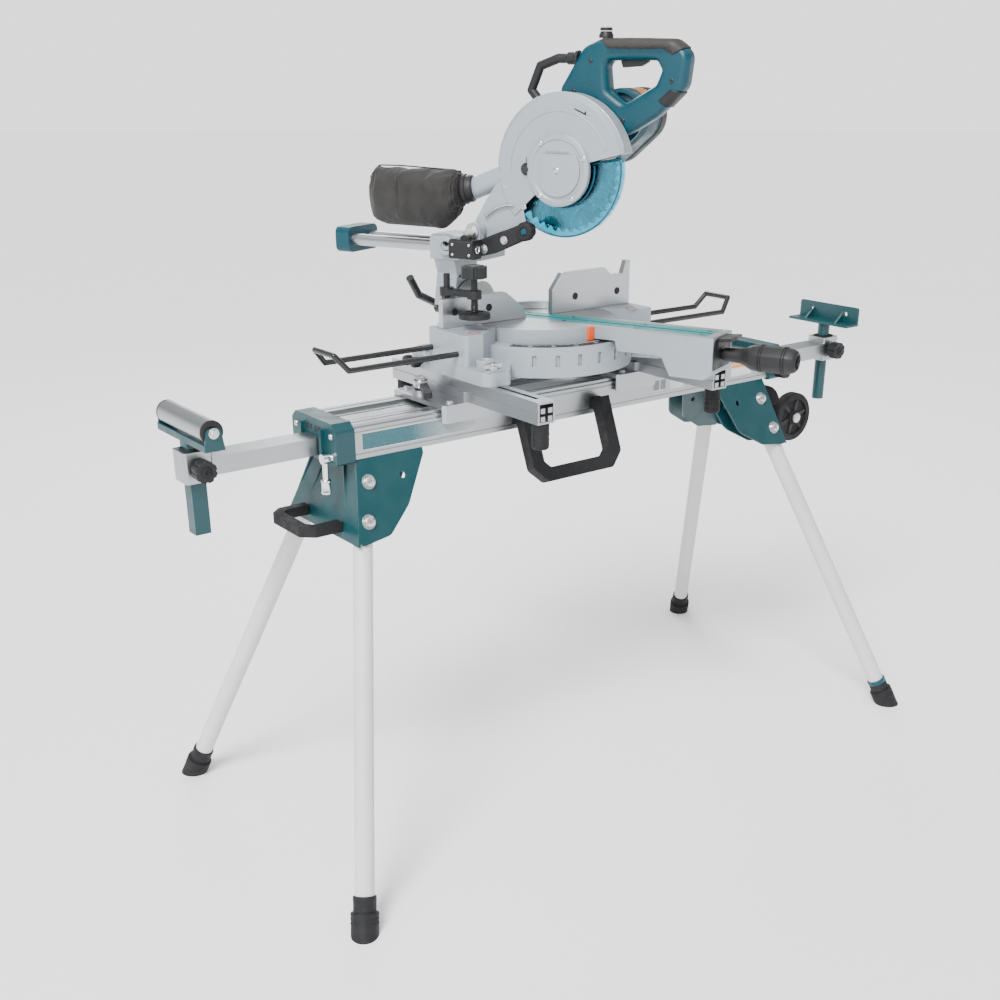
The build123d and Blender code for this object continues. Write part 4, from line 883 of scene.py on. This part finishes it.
# ---------------------------------------------------------------- saw: table, base and fence
def mitre_scale():
    """Black scale on the base ring, with white lines and figures."""
    strip = Shape().arc_band((146, 168), (-58, 58), -26.1, -25.5)
    strip.put("mitre_scale", SAW, "tool_carriage", SCALE_BLACK)
    marks = Shape()
    for degree in range(-55, 56):
        long = 7.5 if degree % 15 == 0 else 5.5 if degree % 5 == 0 else 3.5
        a = radians(degree)
        ahead, side = Vector((sin(a), -cos(a))), Vector((cos(a), sin(a)))
        half = 0.5 if degree % 5 == 0 else 0.3
        marks.prism(line_corners(ahead, side, 147, 147 + long, half), -25.5, -25.3)
    for degree in range(-45, 46, 15):
        a = radians(degree)
        place = Matrix.Translation((160.5 * sin(a), -160.5 * cos(a), -25.4)) @ Matrix.Rotation(a, 4, "Z")
        marks.words(str(abs(degree)), 8.5, place)
    marks.put("mitre_marks", SAW, "tool_carriage", MARK_WHITE, slot="cast_grey")


def base_details():
    """Pad pockets with painted shade on their floors, vise sockets, plain warning rings, slots drawn as
    painted shade, and adjusting knobs on the base casting.
    """
    pockets, floors = Shape(), Shape()
    for side in (-1, 1):
        x = side * 204.5
        pockets.prism(soft_box((x - 19, x + 19), (-138, -108), 4), -55.2, -52.4)
        # Pocket floors in darker grey: painted shade in the recess.
        floors.prism(soft_box((x - 15, x + 15), (-134.5, -111.5), 3), -52.6, -52.1)
    pockets.put("pad_frames", SAW, "tool_carriage", CAST, bevel=1.0)
    floors.put("pad_floor_shade", SAW, "tool_carriage", SHADE_AND_PRINT_GREY, slot="cast_grey")
    sockets = Shape()
    for side in (-1, 1):
        sockets.lathe([(17, 0), (17, 11.5), (15.5, 13), (11.5, 13), (10.5, 11.5), (10.5, 3), (0, 3)],
                      (side * 196, -92, -55), steps=48)
    sockets.put("vise_sockets", SAW, "tool_carriage", CAST)
    rings = Shape()
    for centre in ((-196, -60), (188, -44)):
        rim, hole = circle(centre, 11), circle(centre, 8.8)
        for i, j in zip(range(40), [*range(1, 40), 0]):
            rings.prism([rim[i], rim[j], hole[j], hole[i]], 0.02, 0.25)
    rings.put("wing_rings", SAW, "tool_carriage", LABEL_RED)
    # Black strips along the slots in the wings: painted shade inside the slots.
    slots = Shape()
    for x0, y0, x1, y1 in ((-176, -34, -160, -62), (206, -22, 196, -46)):
        way = Vector((x1 - x0, y1 - y0)).normalized()
        side = Vector((-way.y, way.x)) * 1.1
        a, b = Vector((x0, y0)), Vector((x1, y1))
        slots.prism([tuple(a + side), tuple(b + side), tuple(b - side), tuple(a - side)], 0.02, 0.2)
    slots.put("wing_slot_shade", SAW, "tool_carriage", SCALE_BLACK)
    knobs = Shape()
    for y in (62, 88):
        knobs.lathe([(4, 0), (4, 8), (9.6, 9), (9.6, 20), (8, 23), (0, 23)], (-227, y, -67), LEFT, steps=48,
                    lobes=8, depth=1.2)
    knobs.put("adjuster_knobs", SAW, "tool_carriage", BLACK_PLASTIC)


def fence_details():
    """Painted shade in the screw bores, bolts behind the fence, and a plain label behind its left half."""
    # Black dishes in the screw bores of the fence: painted shade.
    screws = Shape()
    for x in (-196, -120, 84, 190):
        screws.lathe([(6.8, 0), (6.8, 0.3), (4.8, 0.35), (4.5, -0.6), (0, -0.7)], (x, 0, 28), FRONT,
                     steps=32)
    screws.put("fence_bore_shade", SAW, "tool_carriage", SCALE_BLACK)
    bolts = Shape().screws([(x, 16, 9) for x in (-206, -158, 160, 210)], UP, 5.2, 4.5)
    bolts.put("fence_bolts", SAW, "tool_carriage", ZINC)
    label = Shape().prism([(-150, 8), (-98, 8), (-98, 22), (-150, 22)], 12.0, 12.4, "Y")
    label.put("fence_label", SAW, "tool_carriage", LABEL_ORANGE, slot="cast_grey")


def table_details():
    """Kerf board screws and painted shade in their recesses, the orange pointer, and the end plate, foot
    and screws of the arm.
    """
    screws = Shape()
    for y in (-332, -206, -60, 36):
        for x in (-20, 20):
            screws.lathe([(4.2, 0), (4.2, 0.25), (2.6, 0.4), (2.2, -0.2), (0, -0.3)], (x, y, -0.2),
                         steps=24)
    screws.put("kerf_screws", ARM, "table", BLACK_STEEL)
    # Darker patches in the screw recesses: painted shade.
    frames = Shape()
    for y in (-332, -206):
        for x in (-20, 20):
            frames.box((x - 6.5, x + 6.5), (y - 5, y + 5), (-0.25, -0.05))
    frames.put("kerf_recess_shade", ARM, "table", KERF_SHADE)
    pointer = Shape()
    outline = rounded([(-7.5, 0.4), (-7.5, -22), (-3, -25), (4, -25), (7, -22), (7, 0.4)],
                      {0: 2, 1: 2, 4: 2, 5: 2})
    pointer.prism(outline, -2.4, 2.4, "Y")
    turn = Matrix.Rotation(radians(-21), 4, "Z") @ Matrix.Translation((0, -141.2, 0))
    pointer.put("mitre_pointer", ARM @ turn, "table", ORANGE, bevel=1.2, segments=3)
    end_plate = Shape().prism(rounded([(-41, -4), (41, -4), (41, -58), (-41, -58)],
                                      {0: 9, 1: 9, 2: 6, 3: 6}), -365.4, -364, "Y")
    end_plate.put("arm_end_plate", ARM, "table", BLACK_PLASTIC, bevel=0.5)
    foot = Shape().lathe([(9, 0), (9, -6), (15.6, -7), (15.6, -11), (14, -13), (0, -13)], (0, -338, -66),
                         steps=48, lobes=12, depth=0.8)
    foot.put("arm_foot", ARM, "table", RUBBER)
    Shape().screws([(x, -356, 0) for x in (-30, 30)], UP, 3.4, 0.4).put("arm_screws", ARM, "table", ZINC)


STRETCH = 1.085                    # length of the grip against its profile


def mitre_grip():
    """Grip with a waisted neck, eight flats with soft edges, and a hollow end."""
    grip = Shape()
    profile = [(7.9, 0), (7.9, 24), (11.5, 26), (12, 34), (12.5, 54), (15, 62), (21, 70), (23.6, 78),
               (23.9, 120), (23, 136), (19.5, 146), (15, 149), (12.5, 149), (11, 146), (10, 132), (0, 131)]
    start = -342.0
    rings = []
    steps = 96
    for radius, depth in profile:
        ring = []
        for i in range(steps):
            angle = 2 * pi * i / steps
            r = radius
            if radius > 18:
                flat = cos(pi / 8) / cos((angle + pi / 8) % (pi / 4) - pi / 8)
                r = radius * (0.45 + 0.55 * flat)
            r = max(r, 0.05)
            ring.append((r * cos(angle), start - depth * STRETCH, -34 + r * sin(angle)))
        rings.append(ring)
    grip.skin(rings)
    grip.put("lock_grip", ARM, "mitre_lock", BLACK_PLASTIC, replaces=("mitre_grip",),
             subdivide=True)
    rings = Shape()
    for depth in (88, 92, 126, 130):
        y = start - depth * STRETCH
        rings.lathe([(23.2, 0), (23.9, 0.5), (23.9, 1.1), (23.2, 1.6)], (0, y, -34), FRONT, steps=64)
    rings.put("grip_rings", ARM, "mitre_lock", RUBBER)


def vise_details():
    """Knob cap, thread and pad of the vise."""
    thread = Shape()
    for i in range(6):
        thread.lathe([(6.0, 0), (6.9, 0.9), (6.0, 1.8)], (*VISE_AT, 32 + 2.0 * i), steps=28)
    thread.put("vise_thread", SAW, "vise_spindle", BLACK_STEEL)
    cap = Shape().lathe([(17, 0), (16.5, 1.4), (9, 2.0), (8, 1.2), (0, 1.0)], (*VISE_AT, 110), steps=40)
    cap.put("vise_cap", SAW, "vise_spindle", BLACK_PLASTIC)
    rim = Shape().lathe([(27.6, 0), (28, 1.6), (24, 3), (15, 4.5), (14.5, 3), (27, 0)], (*VISE_AT, 27.2),
                        steps=64)
    rim.put("vise_pad_rim", SAW, "vise_foot", BLACK_PLASTIC)


def bevel_details():
    """Bevel scales and marks, orange stop lever, column bolts, and the poles' wipers and end screws."""
    plate = Shape()
    outline = circle((0, 0), 49, 22, 20, 5) + circle((0, 0), 34, 22, 125, -5)
    plate.prism(outline, 160.2, 160.8, "Y")
    plate.put("bevel_scale", ARM, "bevel_unit", SCALE_BLACK)
    rim = Shape().arc_band((53.9, 54.5), (-75, 75), -9, 5.0)
    turn = Matrix.Translation((0, 169, 0)) @ Matrix.Rotation(radians(-90), 4, "X")
    rim.put("bevel_rim_scale", ARM @ turn, "bevel_unit", SCALE_BLACK)
    marks = Shape()
    for degree in range(-50, 51, 5):
        a = radians(degree)
        out, side = Vector((sin(a), cos(a))), Vector((cos(a), -sin(a)))
        marks.prism(line_corners(out, side, 54.4, 54.7, 0.45), 163, 169 if degree % 15 else 172, "Y")
    marks.put("bevel_marks", ARM, "bevel_unit", MARK_WHITE, slot="cast_grey")
    lever = Shape().tube([(-22, 170, 62), (-10, 170, 63), (8, 169, 62), (24, 168, 58), (31, 167, 52),
                          (35, 166, 44)], 5.0, steps=14, flat=0.55)
    lever.put("bevel_stop_lever", ARM, "bevel_unit", ORANGE, subdivide=True)
    bolts = Shape().hex_bolt((-40, 186, 28), (-1, 0, -0.2), 7, 7)
    bolts.hex_bolt((40, 186, 28), (1, 0, -0.2), 7, 7)
    bolts.hex_bolt((-24, 166, 62), UP, 4.5, 5)
    bolts.put("bevel_bolts", ARM, "bevel_unit", BLACK_STEEL)
    caps = Shape()
    for side in (-1, 1):
        caps.lathe([(15, 0), (15, 3), (13, 4.5), (11.6, 4.5)], (side * 28, 149.5, 118), FRONT, steps=48)
    caps.put("pole_wipers", ARM, "bevel_unit", BLACK_PLASTIC)
    ends = Shape().screws([(x, 437, 118) for x in (-28, 28)], (0, 1, 0), 6, 3)
    ends.put("pole_cap_screws", ARM, "slide_carriage", ZINC)


# ---------------------------------------------------------------- stand details
def beam_details():
    """Blank strip and plain labels on the beam, and the screws of its end caps with painted shade in their
    pockets.
    """
    face = -70.0
    outline = [(-497, 750.5), (-262, 750.5), (-262, 778.5), (-497, 778.5)]
    Shape().prism(outline, face - 0.5, face, "Y").put("name_strip", STAND, "stand", STRIP_TEAL)
    frame_line = Shape()
    for low, high in ((749.2, 750.3), (778.7, 779.8)):
        frame_line.box((-498, -262), (face - 0.6, face), (low, high))
    frame_line.put("name_strip_border", STAND, "stand", MARK_WHITE)
    labels = Shape()
    for x0, x1 in ((176, 214), (222, 262), (400, 462)):
        labels.box((x0, x1), (face - 0.2, face), (752, 778))
    labels.put("plain_labels", STAND, "stand", MARK_WHITE)
    bands = Shape()
    for x0, x1 in ((222, 262), (400, 462)):
        bands.box((x0 + 1, x1 - 1), (face - 0.32, face - 0.1), (770, 777))
    bands.put("label_bands", STAND, "stand", LABEL_ORANGE)
    grey = Shape()
    for x0, x1 in ((178, 194), (197, 212)):
        grey.box((x0, x1), (face - 0.32, face - 0.1), (755, 775))
    grey.put("label_panels", STAND, "stand", SHADE_AND_PRINT_GREY)
    screws = Shape()
    for side in (-1, 1):
        screws.screws([(side * 552, y, z) for y in (-60, 60) for z in (744, 780)], (side, 0, 0), 5.5, 3.2)
    screws.put("cap_screws", STAND, "stand", ZINC)
    # Black sheets in the pockets of the end caps: painted shade.
    recess = Shape()
    for side in (-1, 1):
        for y0, y1 in ((-24, -4), (4, 24)):
            recess.box(sorted((side * 551.8, side * 552.4)), (y0, y1), (780, 789))
    recess.put("cap_pocket_shade", STAND, "stand", SCALE_BLACK, bevel=0.2)


def leg_line(name):
    """A leg's hinge and foot, and the side of the beam that it is on."""
    hinge = Vector(JOINTS[f"{name}_leg_fold"]["pos_m"]) / MM
    face = -1 if name.startswith("front") else 1
    side = -1 if name.endswith("left") else 1
    return hinge, Vector((side * FOOT_X, face * FOOT_Y, 0)), face


def housing_details():
    """Washers and domed heads on the leg hinges and their stops."""
    heads = Shape()
    for name in LEGS:
        hinge, foot, face = leg_line(name)
        normal = Vector((0, face * LEG_DROP, 277)).normalized()
        slope = (foot - hinge) / LEG_DROP
        for drop in (0, 62):
            centre = hinge + slope * drop + normal * 28.0
            heads.lathe([(9.6, 0), (9.2, 1.4), (6.5, 3.0), (3.2, 3.5), (2.8, 2.6), (0, 2.4)], centre,
                        normal, steps=32)
            heads.lathe([(13, -6.2), (13, -5.0), (9.4, -4.8)], centre, normal, steps=32)
    heads.put("hinge_heads", STAND, "stand", ZINC)


def leg_details():
    """Collars above the feet, and the ridges round them."""
    for name in LEGS:
        hinge, foot, _ = leg_line(name)
        down = (foot - hinge).normalized()
        body = f"{name}_leg"
        profile = [(17.2, 0), (20.2, 1), (20.4, 9), (19.4, 11)]
        sleeve = Shape().lathe(profile, foot - down * 66, down, steps=48)
        material = TEAL_PLASTIC if name == "front_right" else RUBBER
        sleeve.put(f"foot_collar_{name}", STAND, body, material, slot="rubber_black")
        ridges = Shape()
        for k in range(3):
            ridges.lathe([(23.6, 0), (24.6, 1), (24.6, 3), (23.6, 4)], foot - down * (37 - 7.5 * k), down,
                         steps=48)
        ridges.put(f"foot_ridges_{name}", STAND, body, RUBBER)


def wheel_details():
    """Spokes, tread ribs and axle caps of the wheels."""
    centre_x, centre_z = 630.0, 627.0
    spokes, tread, caps = Shape(), Shape(), Shape()
    for side in (-1, 1):
        face = side * 57.0
        for k in range(6):
            a = radians(60 * k + 15)
            way, turn = Vector((cos(a), sin(a))), Vector((-sin(a), cos(a)))
            outline = [way * 14 + turn * 5, way * 41 + turn * 3.4, way * 41 - turn * 3.4,
                       way * 14 - turn * 5]
            corners = [(centre_x + p.x, centre_z + p.y) for p in outline]
            spokes.prism(corners, *sorted((face - side * 9, face - side * 2)), "Y")
        for k in (-6, 0, 6):
            tread.lathe([(53.8, 0), (54.3, 0.6), (54.3, 1.8), (53.8, 2.4)], (centre_x, side * 45 + k - 1.2,
                                                                             centre_z), (0, 1, 0), steps=72)
    spokes.put("wheel_spokes", STAND, "wheel_pair", BLACK_PLASTIC, bevel=0.8)
    tread.put("wheel_tread", STAND, "wheel_pair", RUBBER)
    for side in (-1, 1):
        caps.lathe([(10.5, 0), (10, 2), (6, 3), (0, 3.2)], (centre_x, side * 64, centre_z), (0, side, 0),
                   steps=32)
    caps.put("axle_caps", STAND, "stand", ZINC)


def support_details():
    """Roller end rings and axle nuts, knob caps, collar seals and the lock lever's sleeve."""
    rings, nuts = Shape(), Shape()
    for side in (-1, 1):
        rings.lathe([(18.6, 0), (19.2, 0.6), (19.2, 4), (17, 5), (10, 5)], (-774, side * 81.5, 830),
                    (0, side, 0), steps=56)
        nuts.hex_bolt((-774, side * 92, 830), (0, side, 0), 6.5, 5)
    rings.put("roller_rings", STAND, "work_roller", BLACK_PLASTIC)
    nuts.put("roller_nuts", STAND, "roller_head", ZINC)
    for side, body in ((-1, "left"), (1, "right")):
        cap = Shape().lathe([(9, 0), (9.4, 1), (7, 2.2), (3.4, 2.4), (3.0, 1.0), (0, 0.9)],
                            (side * COLLAR_X, -51, COLLAR_Z), FRONT, steps=32)
        cap.put(f"collar_knob_cap_{body}", STAND, f"{body}_knob", RUBBER)
        rim = Shape()
        square = soft_box((side * COLLAR_X - 15.5, side * COLLAR_X + 15.5), (-15.5, 15.5), 4)
        rim.tube([(x, y, 786.2) for x, y in square], 1.8, steps=8, closed=True)
        rim.put(f"collar_seal_{body}", STAND, f"{body}_arm", RUBBER)
    cap = Shape().lathe([(11, 0), (11.4, 1), (8, 2.4), (0, 2.6)], (534, -106, COLLAR_Z), FRONT, steps=32)
    cap.put("lock_knob_cap", STAND, "right_lock", RUBBER)
    sleeve = Shape().lathe([(6, 0), (8.6, 1), (8.8, 4), (8.2, 5), (8.2, 20), (8.8, 21), (8.8, 25),
                            (6, 26.5), (0, 26.5)], (-562, -52, 706), (0, 0, -1), steps=40)
    sleeve.put("lock_lever_sleeve", STAND, "left_lock", CHROME)


def bracket_details():
    """Clamp hub bolts, grooved collars on the posts, webs in the rail ends and saddle bolts."""
    for x, body in zip(RAIL_X, ("left_clamp", "right_clamp")):
        hub = Shape().hex_bolt((x - 48, 22, 830), UP, 7.5, 6.5)
        hub.lathe([(12.4, -12), (13.2, -10), (13.2, -2), (12, 0.6)], (x - 48, 22, 829), steps=40)
        hub.put(f"{body}_bolt", STAND, body, ZINC)
    grooves, plates = Shape(), Shape()
    for x in RAIL_X:
        for y in (-269, 149):
            for k in range(3):
                grooves.lathe([(14.6, 0), (15.5, 0.8), (15.5, 2.6), (14.6, 3.4)], (x, y, 764 + 9 * k),
                              steps=40)
        for left in (x - 12.2, x + 3.2):
            for low in (808.5, 822.5):
                plates.box((left, left + 9), (-285.6, -284.6), (low, low + 9))
    grooves.put("post_grooves", STAND, "tool_carriage", RUBBER)
    plates.put("rail_end_webs", STAND, "tool_carriage", RAIL, bevel=0.3)
    nuts = Shape()
    for x in RAIL_X:
        for y in (-70, 70):
            for dx in (-48, 22):
                nuts.hex_bolt((x + dx, y, 804), UP, 5.5, 5)
    nuts.put("saddle_bolts", STAND, "tool_carriage", ZINC)


def grip_details():
    """Screws that hold the carry handle."""
    screws = Shape().screws([(x, -92, 756) for x in (-163, 23)], FRONT, 5, 2.5)
    screws.put("carry_handle_screws", STAND, "stand", ZINC)


# ---------------------------------------------------------------- studio
SKY = ((0.0, 0.752), (0.05, 0.752), (0.2, 0.2), (0.5, 0.24), (0.8, 0.5), (1.0, 0.6))   # height, grey
SKY_STRENGTH = 2.5
FLOOR_RADIUS = 30.0                # metres
LIT_POINT = Vector((0, 0, 0.9))
LAMPS = (("key", (-2.4, -1.6, 2.6), 1.2, 70), ("back", (1.4, 2.6, 2.8), 1.6, 60))      # place, size, watts


def facing(way):
    """Rotation of a lamp or camera that looks along a way."""
    return way.to_track_quat("-Z", "Y").to_euler()


def studio():
    """Light grey floor, graded sky, a soft sun and two area lamps."""
    bm = bmesh.new()
    bmesh.ops.create_circle(bm, cap_ends=True, radius=FLOOR_RADIUS, segments=96)
    mesh = bpy.data.meshes.new("floor")
    bm.to_mesh(mesh)
    bm.free()
    floor = show("floor", mesh)
    finish = Finish("floor", (0.86, 0.86, 0.86), 0.75)
    finish.paint(finish.mix(finish.noise(1.5, 3.0), (0.85, 0.85, 0.85), (0.87, 0.87, 0.87)))
    floor.data.materials.append(finish.material)

    world = bpy.data.worlds.new("studio")
    world.use_nodes = True
    sky = world.node_tree
    where = sky.nodes.new("ShaderNodeTexCoord").outputs["Generated"]
    height = sky.nodes.new("ShaderNodeSeparateXYZ")
    sky.links.new(where, height.inputs[0])
    ramp = sky.nodes.new("ShaderNodeValToRGB")
    while len(ramp.color_ramp.elements) < len(SKY):
        ramp.color_ramp.elements.new(0.5)
    for element, (place, value) in zip(ramp.color_ramp.elements, SKY):
        element.position = place
        element.color = (value * 0.98, value * 0.99, value, 1)
    sky.links.new(height.outputs["Z"], ramp.inputs["Fac"])
    background = sky.nodes["Background"]
    sky.links.new(ramp.outputs["Color"], background.inputs["Color"])
    background.inputs["Strength"].default_value = SKY_STRENGTH
    bpy.context.scene.world = world

    sun = bpy.data.lights.new("sun", "SUN")
    sun.energy, sun.angle = 4.8, radians(24)
    show("sun", sun).rotation_euler = facing(Vector((0.58, 0.32, -0.75)))
    for name, place, size, watts in LAMPS:
        light = bpy.data.lights.new(name, "AREA")
        light.energy, light.size = watts, size
        lamp = show(name, light)
        lamp.location = place
        lamp.rotation_euler = facing(LIT_POINT - Vector(place))


def camera():
    """The stand's viewing angle: from the left, in front and above."""
    data = bpy.data.cameras.new("camera")
    data.sensor_width, data.lens = 36.0, 45.5
    data.shift_x, data.shift_y = -0.02, 0.11
    view = show("camera", data)
    view.location = (-1.559, -1.893, 1.350)
    pitch = radians(-23.2)
    view.rotation_euler = facing(Vector((0.609 * cos(pitch), 0.793 * cos(pitch), sin(pitch))))
    bpy.context.scene.camera = view


PIECES = (cloth_bag, bag_fittings, case_details, guard_details, blade_tips, handle, motor_details,
          front_link, hinge_details, laser_details, mitre_scale, base_details, fence_details,
          table_details, mitre_grip, vise_details, bevel_details, beam_details, housing_details,
          leg_details, wheel_details, support_details, bracket_details, grip_details)

dress_nodes()
for make in PIECES:
    make()
studio()
camera()
